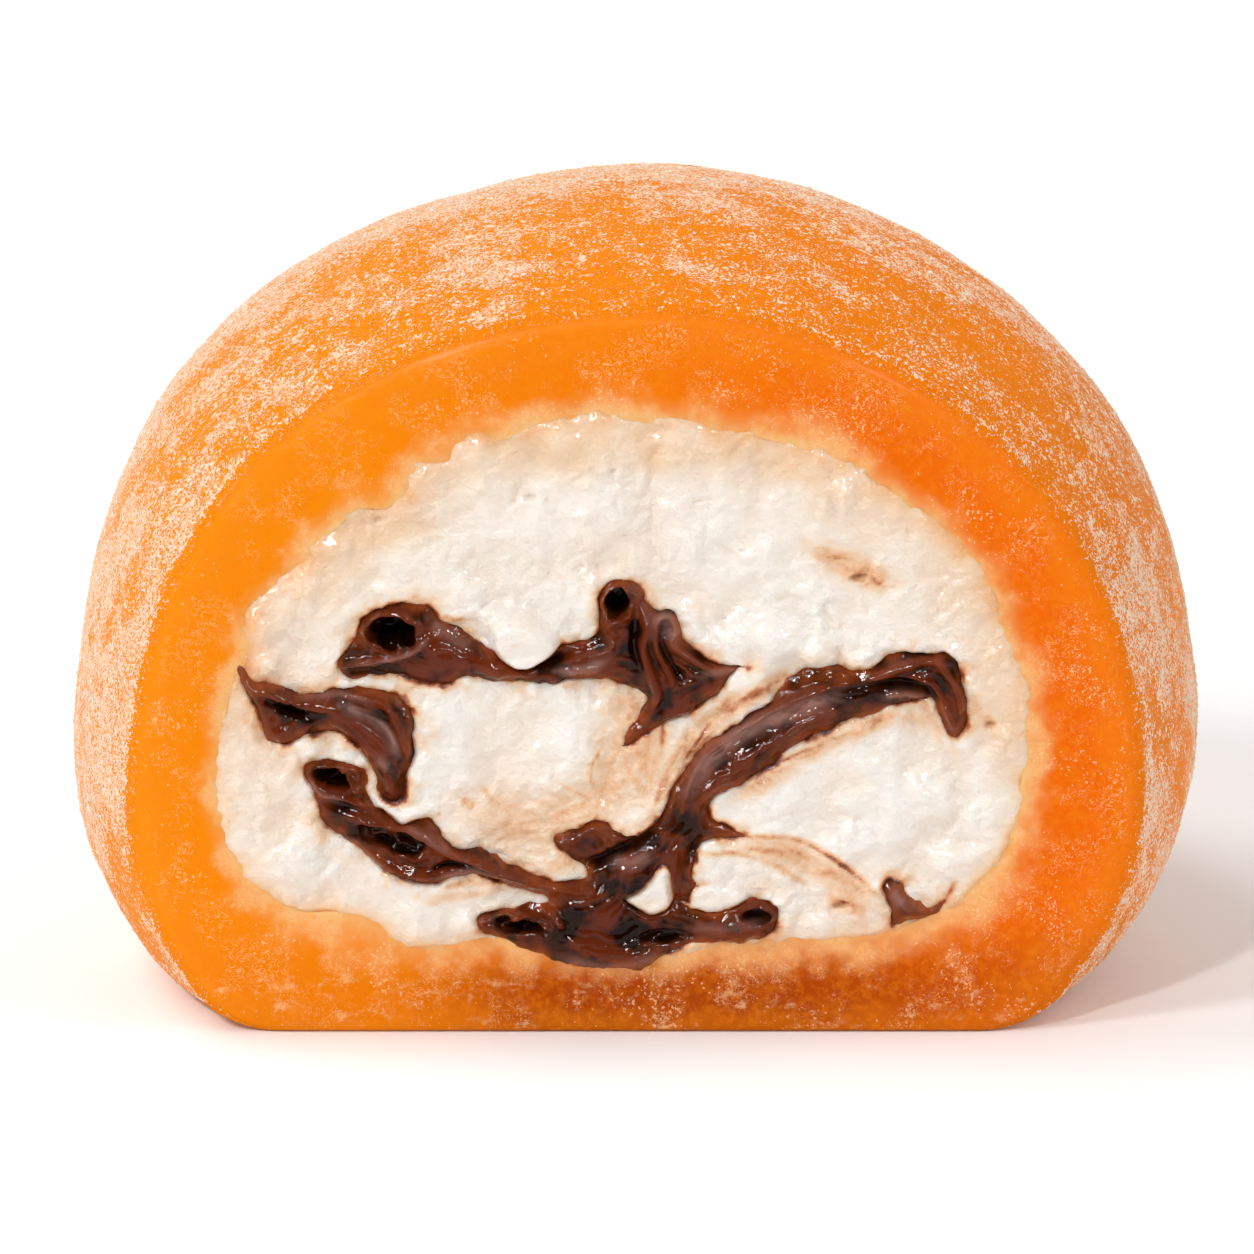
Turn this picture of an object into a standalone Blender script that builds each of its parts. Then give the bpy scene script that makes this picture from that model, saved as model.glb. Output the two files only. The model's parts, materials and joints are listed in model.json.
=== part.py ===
"""A marshmallow mochi with its front cut away: an orange rice-dough skin, white
marshmallow cream inside it, and ribbons of chocolate that run back through the cream.

Metres, +Z up. The sweet stands on its flat base on Z = 0, the axis of the round dome is the
Z axis, and the knife's cut faces -Y.
"""

import math

import bmesh
import bpy
from mathutils import Matrix, Vector, noise

# Driving sizes of the whole sweet, in metres
RADIUS = 0.0250  # half the width across the widest belt
HEIGHT = 0.0349
BELT = 0.0116  # height of the widest belt above the base
FOOT = 0.0206  # radius of the flat base before its edge is rounded
FOOT_ROUND = 0.0016
FULLNESS = 2.13  # 2 gives a true ellipse, more swells its shoulders
CUT = -0.0121  # the knife passed this far in front of the dome's axis

# The dough skin, measured by the hollow inside it
HOLLOW_RADIUS = 0.0216
HOLLOW_HEIGHT = 0.0311
HOLLOW_BELT = 0.0140
HOLLOW_FOOT = 0.0201
HOLLOW_ROUND = 0.0036
HOLLOW_FULLNESS = 2.0
HOLLOW_FLOOR = 0.0040
SAG = 0.0010  # the weight of the chocolate presses the floor of the hollow down
SAG_WIDTH = 0.0036
RIM_ROUND = 0.0009  # the knife leaves the skin's outer edge this soft
LIP_ROUND = 0.0004

# Meshes that touch keep this gap
GAP = 0.0003

# The cut face of the filling
CREAM_RELIEF = 0.00045
CHOCOLATE_RELIEF = 0.00030
CREAM_CELL = 0.00100
CHOCOLATE_CELL = 0.00090
PROUD = 0.0020  # raw blocks reach this far in front of the cut before it is shaped

# How far back the chocolate runs, and how much its section shrinks on the way
UPPER_BACK = 0.0120
LEFT_BACK = 0.0095
LOWER_BACK = 0.0135
CORNER_BACK = 0.0030
RIBBON_SHRINK = 0.74

# Where the photograph was taken from, to carry its pixels on to the cut face
LOOK_DOWN = math.radians(16.8)
DISTANCE = 0.500
AIM = 0.01427  # the middle of the picture looks this high past the origin
FOCUS_PX = 11145
MIDDLE_PX = (628.35, 627.0)

# Outlines of the chocolate on the cut face, in pixels of the photograph, clockwise from the left
UPPER_RIBBON = [
    (334, 663), (350, 645), (357, 622), (380, 606), (410, 600), (436, 613), (464, 635),
    (500, 650), (532, 655), (560, 645), (590, 637), (600, 615), (599, 592), (620, 580),
    (643, 586), (653, 607), (674, 611), (684, 630), (712, 660), (744, 666), (722, 685),
    (698, 706), (672, 721), (646, 737), (623, 749), (628, 730), (646, 704), (628, 684),
    (590, 682), (540, 683), (490, 677), (445, 682), (400, 676), (362, 675),
]
LEFT_RIBBON = [
    (240, 668), (264, 683), (300, 690), (338, 685), (374, 684), (400, 693), (415, 716),
    (415, 752), (409, 779), (396, 795), (384, 786), (372, 766), (352, 746), (322, 735),
    (294, 742), (274, 740), (259, 720), (248, 698),
]
LOWER_RIBBON = [
    (305, 771), (327, 757), (352, 762), (368, 782), (385, 802), (404, 818), (434, 814),
    (448, 837), (480, 849), (530, 869), (568, 864), (560, 838), (582, 820), (602, 816),
    (630, 828), (656, 812), (686, 768), (722, 731), (772, 694), (802, 671), (832, 667),
    (860, 671), (886, 654), (922, 649), (952, 655), (964, 684), (967, 718), (956, 738),
    (944, 726), (934, 702), (908, 702), (866, 715), (812, 735), (764, 764), (722, 794),
    (716, 815), (750, 836), (716, 842), (692, 858), (692, 896), (724, 908), (744, 898),
    (768, 900), (778, 914), (766, 932), (724, 943), (676, 955), (632, 969), (590, 968),
    (548, 955), (508, 942), (484, 926), (506, 911), (540, 902), (530, 888), (484, 880),
    (424, 882), (384, 866), (344, 838), (316, 814), (314, 792),
]
CORNER_CHOCOLATE = [
    (883, 885), (902, 883), (909, 897), (926, 906), (946, 899), (932, 914), (908, 920), (891, 917),
]

# How finely the solids are faceted
AROUND = 64
RINGS_OUT = 13
RINGS_IN = 8
RIM_STEPS = 3
PROFILE_STEPS = 40
CURVE_STEPS = 3

# Reused names of the two collections
SWEET = "marshmallow_mochi"
CUTTERS = "cutters"


def clear_scene():
    for obj in list(bpy.data.objects):
        bpy.data.objects.remove(obj, do_unlink=True)
    for name in (SWEET, CUTTERS):
        bpy.context.scene.collection.children.link(bpy.data.collections.new(name))


def add_object(name, mesh, collection=SWEET):
    obj = bpy.data.objects.new(name, mesh)
    bpy.data.collections[collection].objects.link(obj)
    if collection == CUTTERS:
        obj.hide_render = True
        obj.display_type = "WIRE"
    return obj


def food_material(name, colour, roughness):
    material = bpy.data.materials.new(name)
    material.use_nodes = True
    shader = material.node_tree.nodes["Principled BSDF"]
    shader.inputs["Base Color"].default_value = (*colour, 1.0)
    shader.inputs["Roughness"].default_value = roughness
    shader.inputs["Metallic"].default_value = 0.0
    return material


def turned_profile(radius, top, belt, foot, floor, corner, fullness):
    """Radius and height from the centre of the base, round the belt, to the top of the dome."""
    lower_axis = (belt - floor) / (1 - (foot / radius) ** fullness) ** (1 / fullness)

    def side(height):
        share = (belt - height) / lower_axis
        return radius * (1 - share ** fullness) ** (1 / fullness)

    flat = Vector((foot - corner, floor))
    knee = Vector((foot, floor))
    rise = Vector((side(floor + corner), floor + corner))
    points = [(0.0, floor)]
    for step in range(7):
        t = step / 6
        bend = flat * (1 - t) ** 2 + knee * 2 * t * (1 - t) + rise * t * t
        points.append((bend.x, bend.y))
    for step in range(1, PROFILE_STEPS):
        height = rise.y + (belt - rise.y) * step / PROFILE_STEPS
        points.append((side(height), height))
    for step in range(PROFILE_STEPS + 1):
        turn = math.pi / 2 * step / PROFILE_STEPS
        out = math.cos(turn) ** (2 / fullness) if step < PROFILE_STEPS else 0.0
        points.append((radius * out, belt + (top - belt) * math.sin(turn) ** (2 / fullness)))
    return points


def crossing(before, after, depth):
    """The height at which a profile step passes the radius that equals the depth."""
    share = (depth - before[0]) / (after[0] - before[0])
    return before[1] + (after[1] - before[1]) * share


def section(profile, depth, count=AROUND):
    """The closed outline, as (x, z), of a turned body cut across at this depth in Y."""
    depth = abs(depth)
    half = []
    for before, after in zip(profile, profile[1:]):
        if before[0] < depth <= after[0] and depth > 0:
            half.append(Vector((0.0, crossing(before, after, depth))))
        if after[0] >= depth:
            half.append(Vector((math.sqrt(max(0.0, after[0] ** 2 - depth ** 2)), after[1])))
        elif before[0] >= depth:
            half.append(Vector((0.0, crossing(before, after, depth))))
    if depth == 0:
        half.insert(0, Vector(profile[0]))
    half = evenly_spaced(half, count // 2)
    return half + [Vector((-p.x, p.y)) for p in reversed(half[1:-1])]


def evenly_spaced(points, spans):
    """The same line with points at equal steps along it."""
    reach = [0.0]
    for a, b in zip(points, points[1:]):
        reach.append(reach[-1] + (b - a).length)
    spaced = []
    k = 0
    for step in range(spans + 1):
        want = reach[-1] * step / spans
        while k < len(points) - 2 and reach[k + 1] < want:
            k += 1
        span = max(reach[k + 1] - reach[k], 1e-12)
        spaced.append(points[k].lerp(points[k + 1], min(1.0, (want - reach[k]) / span)))
    return spaced


def drawn_in(outline, inset):
    """The outline moved inwards by this distance, or outwards where it is negative."""
    moved = []
    for k, point in enumerate(outline):
        along = outline[(k + 1) % len(outline)] - outline[k - 1]
        inward = Vector((-along.y, along.x)).normalized()
        moved.append(point + inward * inset)
    return moved


def hand_shaped(x, y, z):
    """Soft dough never stands quite round: it leans and swells a little as it rises."""
    rise = z / HEIGHT
    lean = 0.00035 * math.sin(math.pi * rise)
    swell = 1 + 0.010 * math.sin(2.4 * math.pi * rise + 0.8)
    sag = 0.00022 * math.sin(210 * x + 0.7) * rise
    return Vector((x * swell + lean, y, z + sag))


def ring(bm, outline, depth):
    return [bm.verts.new(hand_shaped(p.x, depth, p.y)) for p in outline]


def bridge(bm, first, second):
    for k in range(len(first)):
        after = (k + 1) % len(first)
        bm.faces.new((first[k], first[after], second[after], second[k]))


def close_to_point(bm, outline, point):
    tip = bm.verts.new(point)
    for k in range(len(outline)):
        bm.faces.new((outline[k], outline[(k + 1) % len(outline)], tip))


def finished_mesh(bm, name):
    bmesh.ops.recalc_face_normals(bm, faces=bm.faces)
    mesh = bpy.data.meshes.new(name)
    bm.to_mesh(mesh)
    bm.free()
    return mesh


def depths_to_back(radius, start, count):
    """Depths from the start to just short of the back pole, closer together near the pole."""
    first = math.asin(start / radius)
    return [radius * math.sin(first + (math.pi / 2 - first) * k / count) for k in range(count)]


def outer_profile():
    return turned_profile(RADIUS, HEIGHT, BELT, FOOT, 0.0, FOOT_ROUND, FULLNESS)


def hollow_section(depth, inset=0.0):
    """The hollow's outline at this depth, its floor pressed down under the chocolate."""
    profile = turned_profile(
        HOLLOW_RADIUS - inset,
        HOLLOW_HEIGHT - inset,
        HOLLOW_BELT,
        HOLLOW_FOOT - inset,
        HOLLOW_FLOOR + inset,
        HOLLOW_ROUND,
        HOLLOW_FULLNESS,
    )
    outline = []
    for point in section(profile, depth):
        low = max(0.0, 1 - (point.y - HOLLOW_FLOOR - inset) / HOLLOW_ROUND)
        press = SAG * math.exp(-((point.x / SAG_WIDTH) ** 2) - (depth / RADIUS) ** 2)
        outline.append(Vector((point.x, point.y - low * press)))
    return outline


def make_skin():
    """The dough: an outer shell, a rounded rim, the band the knife left, and the hollow behind."""
    outer = outer_profile()
    bm = bmesh.new()
    rings = []
    for depth in reversed(depths_to_back(RADIUS, CUT + RIM_ROUND, RINGS_OUT)):
        rings.append(ring(bm, section(outer, depth), depth))
    for step in range(RIM_STEPS - 1, -1, -1):
        turn = math.pi / 2 * step / RIM_STEPS
        depth = CUT + RIM_ROUND * (1 - math.cos(turn))
        inset = RIM_ROUND * (1 - math.sin(turn))
        rings.append(ring(bm, drawn_in(section(outer, depth), inset), depth))
    rings.append(ring(bm, drawn_in(hollow_section(CUT), -LIP_ROUND), CUT))
    for depth in depths_to_back(HOLLOW_RADIUS, CUT + LIP_ROUND, RINGS_IN):
        rings.append(ring(bm, hollow_section(depth), depth))
    for first, second in zip(rings, rings[1:]):
        bridge(bm, first, second)
    close_to_point(bm, rings[0], hand_shaped(0.0, RADIUS, BELT))
    close_to_point(bm, rings[-1], hand_shaped(0.0, HOLLOW_RADIUS, HOLLOW_BELT))
    return add_object("mochi_skin", finished_mesh(bm, "mochi_skin"))


def filling_body(name, inset, collection):
    """The hollow's own form, drawn in by a gap and standing proud of the cut."""
    depths = depths_to_back(HOLLOW_RADIUS - inset, CUT, RINGS_IN)
    bm = bmesh.new()
    rings = [ring(bm, hollow_section(CUT, inset), CUT - PROUD)]
    rings += [ring(bm, hollow_section(depth, inset), depth) for depth in depths]
    bm.faces.new(rings[0])
    for first, second in zip(rings, rings[1:]):
        bridge(bm, first, second)
    close_to_point(bm, rings[-1], hand_shaped(0.0, HOLLOW_RADIUS - inset, HOLLOW_BELT))
    return add_object(name, finished_mesh(bm, name), collection)


def cream_height(x, z):
    """How far the torn marshmallow stands out of the cut, in metres."""
    lumps = noise.noise(Vector((x * 230, z * 230, 3.1)))
    folds = abs(noise.noise(Vector((x * 460, z * 520, 8.4))))
    sink = 0.25 * noise.noise(Vector((x * 90, z * 90, 1.7)))
    return CREAM_RELIEF * (0.9 * lumps - 0.8 * folds + sink)


def chocolate_height(x, z):
    """The chocolate lies a little lower than the cream, with soft ridges along its flow."""
    flow = x * 0.6 - z * 0.8
    ridges = noise.noise(Vector((flow * 700, (x + z) * 160, 5.5)))
    return CHOCOLATE_RELIEF * (ridges - 0.6)


def relief_block(name, cell, height):
    """A block behind the cut whose front has the relief; what it meets takes that face."""
    half_wide = RADIUS
    half_high = HEIGHT / 2
    bm = bmesh.new()
    bmesh.ops.create_grid(
        bm,
        x_segments=round(2 * half_wide / cell),
        y_segments=round(2 * half_high / cell),
        size=1.0,
        matrix=Matrix.Diagonal((half_wide, half_high, 1.0, 1.0)),
    )
    for vert in bm.verts:
        x, z = vert.co.x, vert.co.y + half_high
        vert.co = (x, CUT - height(x, z), z)
    back = bmesh.ops.extrude_face_region(bm, geom=bm.faces[:], use_keep_orig=True)["geom"]
    for vert in (item for item in back if isinstance(item, bmesh.types.BMVert)):
        vert.co.y = RADIUS
    flat = [item for item in back if isinstance(item, bmesh.types.BMFace)]
    bmesh.ops.dissolve_faces(bm, faces=flat)
    return add_object(name, finished_mesh(bm, name), CUTTERS)


def on_cut(px, py):
    """Where a pixel of the photograph lies on the cut face, as (x, z) in metres."""
    down, ahead = math.sin(LOOK_DOWN), math.cos(LOOK_DOWN)
    slope = (MIDDLE_PX[1] - py) / FOCUS_PX
    z = (slope * (DISTANCE + CUT * ahead) + AIM - CUT * down) / (ahead + slope * down)
    away = DISTANCE + CUT * ahead - z * down
    return (px - MIDDLE_PX[0]) / FOCUS_PX * away, z


def ribbon_prism(name, outline, back, grow, collection=SWEET):
    """The outline drawn as a flat curve, thickened back through the filling and narrowed."""
    curve = bpy.data.curves.new(name, "CURVE")
    curve.dimensions = "2D"
    curve.fill_mode = "BOTH"
    curve.resolution_u = CURVE_STEPS
    curve.extrude = (back + grow - CUT + PROUD) / 2
    curve.offset = grow
    spline = curve.splines.new("BEZIER")
    spline.bezier_points.add(len(outline) - 1)
    spline.use_cyclic_u = True
    for point, (px, py) in zip(spline.bezier_points, outline):
        x, z = on_cut(px, py)
        point.co = (x, z, 0.0)
        point.handle_left_type = point.handle_right_type = "AUTO"
    drawn = add_object(name + "_outline", curve, CUTTERS)
    graph = bpy.context.evaluated_depsgraph_get()
    mesh = bpy.data.meshes.new_from_object(drawn.evaluated_get(graph))
    bpy.data.objects.remove(drawn)
    middle = (back + grow + CUT - PROUD) / 2
    mesh.transform(Matrix.Translation((0, middle, 0)) @ Matrix.Rotation(math.pi / 2, 4, "X"))
    bm = bmesh.new()
    bm.from_mesh(mesh)
    bmesh.ops.remove_doubles(bm, verts=bm.verts, dist=1e-6)
    for vert in bm.verts:
        if vert.co.y > middle:
            vert.co.x *= RIBBON_SHRINK
            vert.co.z = BELT + (vert.co.z - BELT) * RIBBON_SHRINK
    return add_object(name, finished_mesh(bm, name), collection)


def boolean(obj, operation, cutter):
    """One cut; the faces an earlier cut left are split first, as they aren't quite flat."""
    if obj.modifiers:
        obj.modifiers.new("split", "TRIANGULATE")
    modifier = obj.modifiers.new(operation.lower(), "BOOLEAN")
    modifier.operation = operation
    modifier.object = cutter
    modifier.solver = "EXACT"


def make_chocolate(name, outline, back):
    """One ribbon of chocolate, cut flush with its own relief and kept off the skin."""
    chocolate = ribbon_prism(name, outline, back, 0.0)
    boolean(chocolate, "INTERSECT", bpy.data.objects["chocolate_space"])
    return chocolate


def make_cream(ribbons):
    """The marshmallow fills the hollow round the chocolate, with a channel for each ribbon."""
    cream = filling_body("marshmallow", GAP, SWEET)
    boolean(cream, "INTERSECT", bpy.data.objects["cream_front"])
    for name, (outline, back) in ribbons.items():
        channel = ribbon_prism(name + "_channel", outline, back, GAP, CUTTERS)
        boolean(cream, "DIFFERENCE", channel)
    return cream


def main():
    clear_scene()
    ribbons = {
        "chocolate_upper": (UPPER_RIBBON, UPPER_BACK),
        "chocolate_left": (LEFT_RIBBON, LEFT_BACK),
        "chocolate_lower": (LOWER_RIBBON, LOWER_BACK),
        "chocolate_corner": (CORNER_CHOCOLATE, CORNER_BACK),
    }
    dough = food_material("orange_rice_dough", (0.90, 0.33, 0.03), 0.45)
    cream = food_material("marshmallow_cream", (0.93, 0.88, 0.81), 0.55)
    chocolate = food_material("dark_chocolate_sauce", (0.075, 0.022, 0.010), 0.25)

    relief_block("cream_front", CREAM_CELL, cream_height)
    front = relief_block("chocolate_front", CHOCOLATE_CELL, chocolate_height)
    boolean(filling_body("chocolate_space", GAP, CUTTERS), "INTERSECT", front)

    make_skin().data.materials.append(dough)
    for name, (outline, back) in ribbons.items():
        make_chocolate(name, outline, back).data.materials.append(chocolate)
    make_cream(ribbons).data.materials.append(cream)
    for obj in bpy.data.collections[SWEET].objects:
        obj.data.shade_smooth()


main()
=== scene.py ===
# %% [markdown]
# # A marshmallow mochi, cut open
# A ball of whipped marshmallow, streaked with chocolate sauce, is wrapped by hand in a sheet of
# coloured rice dough and rolled in starch. A knife has taken off its front, so one picture shows
# a dusty skin, a band of bare dough and the filling. Each of these is made in its own steps.
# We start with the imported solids, which fix the size and the place of every piece.

# %% Load the frame
import json
import math

import bpy
import numpy as np
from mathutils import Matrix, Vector

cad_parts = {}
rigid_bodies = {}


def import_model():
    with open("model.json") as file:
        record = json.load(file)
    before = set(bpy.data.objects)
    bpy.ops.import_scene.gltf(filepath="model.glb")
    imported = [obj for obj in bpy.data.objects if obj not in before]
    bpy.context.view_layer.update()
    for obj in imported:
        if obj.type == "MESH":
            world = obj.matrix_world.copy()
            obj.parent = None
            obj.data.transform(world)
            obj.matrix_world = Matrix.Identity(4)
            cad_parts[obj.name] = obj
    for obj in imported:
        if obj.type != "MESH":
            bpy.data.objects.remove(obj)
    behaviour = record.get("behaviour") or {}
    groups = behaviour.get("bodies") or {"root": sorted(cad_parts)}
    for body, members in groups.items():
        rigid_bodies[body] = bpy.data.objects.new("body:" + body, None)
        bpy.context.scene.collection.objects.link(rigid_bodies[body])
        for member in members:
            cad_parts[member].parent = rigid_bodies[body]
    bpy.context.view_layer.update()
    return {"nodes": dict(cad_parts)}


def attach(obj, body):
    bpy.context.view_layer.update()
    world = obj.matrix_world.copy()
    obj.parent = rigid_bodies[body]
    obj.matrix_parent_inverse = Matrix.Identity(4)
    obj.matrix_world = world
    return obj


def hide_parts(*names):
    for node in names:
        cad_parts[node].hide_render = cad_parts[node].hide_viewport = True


bpy.ops.object.select_all(action="SELECT")
bpy.ops.object.delete()
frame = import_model()
bpy.ops.object.select_all(action="DESELECT")
MM = 0.001
print("solids:", ", ".join(sorted(frame["nodes"])))

# %% [markdown]
# ## The camera
# A long lens from half a metre away looks down on the sweet by about seventeen degrees. The same
# numbers turn a pixel of the photograph into a point on the cut face, which is where most of
# the drawing is done, so they are named here once.

# %% Camera
LOOK_DOWN = math.radians(16.8)
DISTANCE = 0.500
AIM = 0.01427
FOCUS_PX = 11145
MIDDLE_PX = (628.35, 627.0)
FRAME_PX = 1254
SENSOR = 36.0
CUT = -0.0121

ahead = Vector((0, math.cos(LOOK_DOWN), -math.sin(LOOK_DOWN)))
above = Vector((0, math.sin(LOOK_DOWN), math.cos(LOOK_DOWN)))
bpy.ops.object.camera_add(
    location=AIM * above - DISTANCE * ahead,
    rotation=(math.pi / 2 - LOOK_DOWN, 0, 0),
)
camera = bpy.context.object
camera.data.sensor_width = SENSOR
camera.data.lens = SENSOR * FOCUS_PX / FRAME_PX
camera.data.shift_x = (FRAME_PX / 2 - MIDDLE_PX[0]) / FRAME_PX
camera.data.clip_start = 0.01
bpy.context.scene.camera = camera


def on_cut(pixels):
    """Points on the cut face, as rows of (x, z) in metres, for pixels of the photograph."""
    pixels = np.asarray(pixels, float)
    down, level = math.sin(LOOK_DOWN), math.cos(LOOK_DOWN)
    slope = (MIDDLE_PX[1] - pixels[:, 1]) / FOCUS_PX
    z = (slope * (DISTANCE + CUT * level) + AIM - CUT * down) / (level + slope * down)
    away = DISTANCE + CUT * level - z * down
    return np.stack([(pixels[:, 0] - MIDDLE_PX[0]) / FOCUS_PX * away, z], -1)


PIXEL = float(np.ptp(on_cut([(500, 700), (700, 700)])[:, 0])) / 200
print("one pixel on the cut is", round(PIXEL / MM, 4), "mm")

# %% [markdown]
# ## The studio
# The sweet stands on a plain white ground. The key light hangs behind its left shoulder, so soft
# shade lies to the right and a little in front. Two more come from the upper left: one grazes
# the cut and brings out its relief, and a small one reaches into the hollows. A broad light
# fills the right side. Three glints are seen in gloss alone, so they sparkle on the wet sauce
# without washing out the cream. The sky behind the camera is dark, or every wet surface would
# mirror it as a grey veil.

# %% Ground, sky and lights
GROUND_SIZE = 6.0
GROUND_DROP = 0.02 * MM
GROUND = {
    "Base Color": (0.96, 0.955, 0.95, 1), "Roughness": 0.9,
    "Emission Color": (1, 1, 1, 1), "Emission Strength": 0.03,
}
SKY_COLOUR = (1.0, 0.995, 0.985, 1)
SKY_LOW, SKY_HIGH, SKY_FRONT = 0.32, 0.56, 0.08
LAMPS = {  # each: azimuth and elevation in degrees, strength, and spread in degrees
    "key_light": (-112, 58, 1.08, 26),
    "front_light": (-54, 44, 0.82, 12),
    "glint_light": (-26, 38, 0.84, 4),
    "right_light": (80, 30, 0.86, 46),
}
GLINTS = {  # the same, for the lights that only gloss shows
    "upper_glint": (-30, 44, 2.6, 9),
    "side_glint": (36, 36, 1.6, 8),
    "low_glint": (-66, 22, 1.4, 9),
}

bpy.ops.mesh.primitive_plane_add(size=GROUND_SIZE, location=(0, 0, -GROUND_DROP))
ground = bpy.context.object
ground.name = "ground"
paper = bpy.data.materials.new("white_ground")
paper.use_nodes = True
for socket, value in GROUND.items():
    paper.node_tree.nodes["Principled BSDF"].inputs[socket].default_value = value
ground.data.materials.append(paper)


def add_sun(name, azimuth, elevation, strength, spread):
    """A soft far light; azimuth 0 stands behind the camera, and a minus is to its left."""
    bpy.ops.object.light_add(
        type="SUN",
        rotation=(math.radians(90 - elevation), 0, math.radians(azimuth)),
    )
    sun = bpy.context.object
    sun.name = name
    sun.data.energy = strength
    sun.data.angle = math.radians(spread)
    return sun


for name, lamp in LAMPS.items():
    add_sun(name, *lamp)
for name, lamp in GLINTS.items():
    glint = add_sun(name, *lamp)
    glint.visible_diffuse = False
    glint.visible_transmission = False
print("lights:", ", ".join([*LAMPS, *GLINTS]))

# %% Sky
sky = bpy.context.scene.world or bpy.data.worlds.new("sky")
bpy.context.scene.world = sky
sky.use_nodes = True
nodes, links = sky.node_tree.nodes, sky.node_tree.links
heading = nodes.new("ShaderNodeTexCoord")
split = nodes.new("ShaderNodeSeparateXYZ")
links.new(heading.outputs["Generated"], split.inputs[0])


def sky_share(axis, low, high, at_low, at_high):
    """A strength that changes along one axis of the sky, from -1 to 1."""
    node = nodes.new("ShaderNodeMapRange")
    links.new(split.outputs[axis], node.inputs["Value"])
    node.inputs["From Min"].default_value = low
    node.inputs["From Max"].default_value = high
    node.inputs["To Min"].default_value = at_low
    node.inputs["To Max"].default_value = at_high
    return node.outputs["Result"]


dim = nodes.new("ShaderNodeMath")
dim.operation = "MULTIPLY"
links.new(sky_share("Z", -0.1, 0.8, SKY_LOW, SKY_HIGH), dim.inputs[0])
links.new(sky_share("Y", -0.95, 0.0, SKY_FRONT, 1.0), dim.inputs[1])
links.new(dim.outputs[0], nodes["Background"].inputs["Strength"])
nodes["Background"].inputs["Color"].default_value = SKY_COLOUR
bpy.context.scene.view_settings.view_transform = "Standard"
bpy.context.scene.view_settings.look = "None"

# %% [markdown]
# ## Chance that repeats
# Food has no ruled surfaces. Smooth random hills of a stated width, from a fixed seed, roughen
# every piece here in the same way each time the file is run. Large soft ones make a form look
# hand-made, and fine ones make it look torn, dusty or wet.


# %% Random hills
def hills(x, y, size, seed):
    """Smooth hills about this size across, from about -1 to 1."""
    angle = np.random.default_rng(seed).uniform(0, 2 * np.pi, (256, 256))
    u, v = np.asarray(x) / size, np.asarray(y) / size
    iu, iv = np.floor(u).astype(int), np.floor(v).astype(int)
    fu, fv = u - iu, v - iv

    def corner(a, b):
        turn = angle[(iu + a) % 256, (iv + b) % 256]
        return np.cos(turn) * (fu - a) + np.sin(turn) * (fv - b)

    su = fu * fu * fu * (fu * (fu * 6 - 15) + 10)
    sv = fv * fv * fv * (fv * (fv * 6 - 15) + 10)
    low = corner(0, 0) * (1 - su) + corner(1, 0) * su
    high = corner(0, 1) * (1 - su) + corner(1, 1) * su
    return 1.45 * (low * (1 - sv) + high * sv)


def smooth(value, low, high):
    """0 below low, 1 above high, and an easy slope between."""
    t = np.clip((value - low) / (high - low), 0, 1)
    return t * t * (3 - 2 * t)


# %% [markdown]
# ## The dome's form
# The sweet is round about its upright axis, so one line from the middle of the base round the
# belt to the crown says it all: the profile. Cut across by an upright plane, it gives a D lying
# on its flat side. The dough and the hollow inside it are both such profiles, and the sizes are
# the ones that the solids have.

# %% Profiles and sections
RADIUS, HEIGHT, BELT, FOOT, FOOT_ROUND, FULLNESS = 0.0250, 0.0349, 0.0116, 0.0206, 0.0016, 2.13
HOLLOW_RADIUS, HOLLOW_HEIGHT, HOLLOW_BELT = 0.0216, 0.0311, 0.0140
HOLLOW_FOOT, HOLLOW_ROUND, HOLLOW_FLOOR, HOLLOW_FULLNESS = 0.0201, 0.0036, 0.0040, 2.0
SAG, SAG_WIDTH = 0.0010, 0.0036
RIM_ROUND, LIP_ROUND = 0.0009, 0.00012


def turned_profile(radius, top, belt, foot, floor, corner, fullness):
    """Radius and height from the middle of the base, round the belt, to the crown."""
    lower = (belt - floor) / (1 - (foot / radius) ** fullness) ** (1 / fullness)

    def side(height):
        return radius * (1 - ((belt - height) / lower) ** fullness) ** (1 / fullness)

    t = np.linspace(0, 1, 24)[:, None]
    flat, knee = np.array([foot - corner, floor]), np.array([foot, floor])
    rise = np.array([side(floor + corner), floor + corner])
    bend = flat * (1 - t) ** 2 + knee * 2 * t * (1 - t) + rise * t * t
    up = np.linspace(floor + corner, belt, 120)[1:-1]
    turn = np.linspace(0, math.pi / 2, 300)
    crown = np.stack([
        radius * np.clip(np.cos(turn), 0, 1) ** (2 / fullness),
        belt + (top - belt) * np.sin(turn) ** (2 / fullness),
    ], -1)
    return np.concatenate([[[0.0, floor]], bend, np.stack([side(up), up], -1), crown])


DOUGH = turned_profile(RADIUS, HEIGHT, BELT, FOOT, 0.0, FOOT_ROUND, FULLNESS)
HOLLOW = turned_profile(
    HOLLOW_RADIUS, HOLLOW_HEIGHT, HOLLOW_BELT, HOLLOW_FOOT, HOLLOW_FLOOR, HOLLOW_ROUND,
    HOLLOW_FULLNESS,
)
print("profiles with", len(DOUGH), "and", len(HOLLOW), "points")


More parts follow.
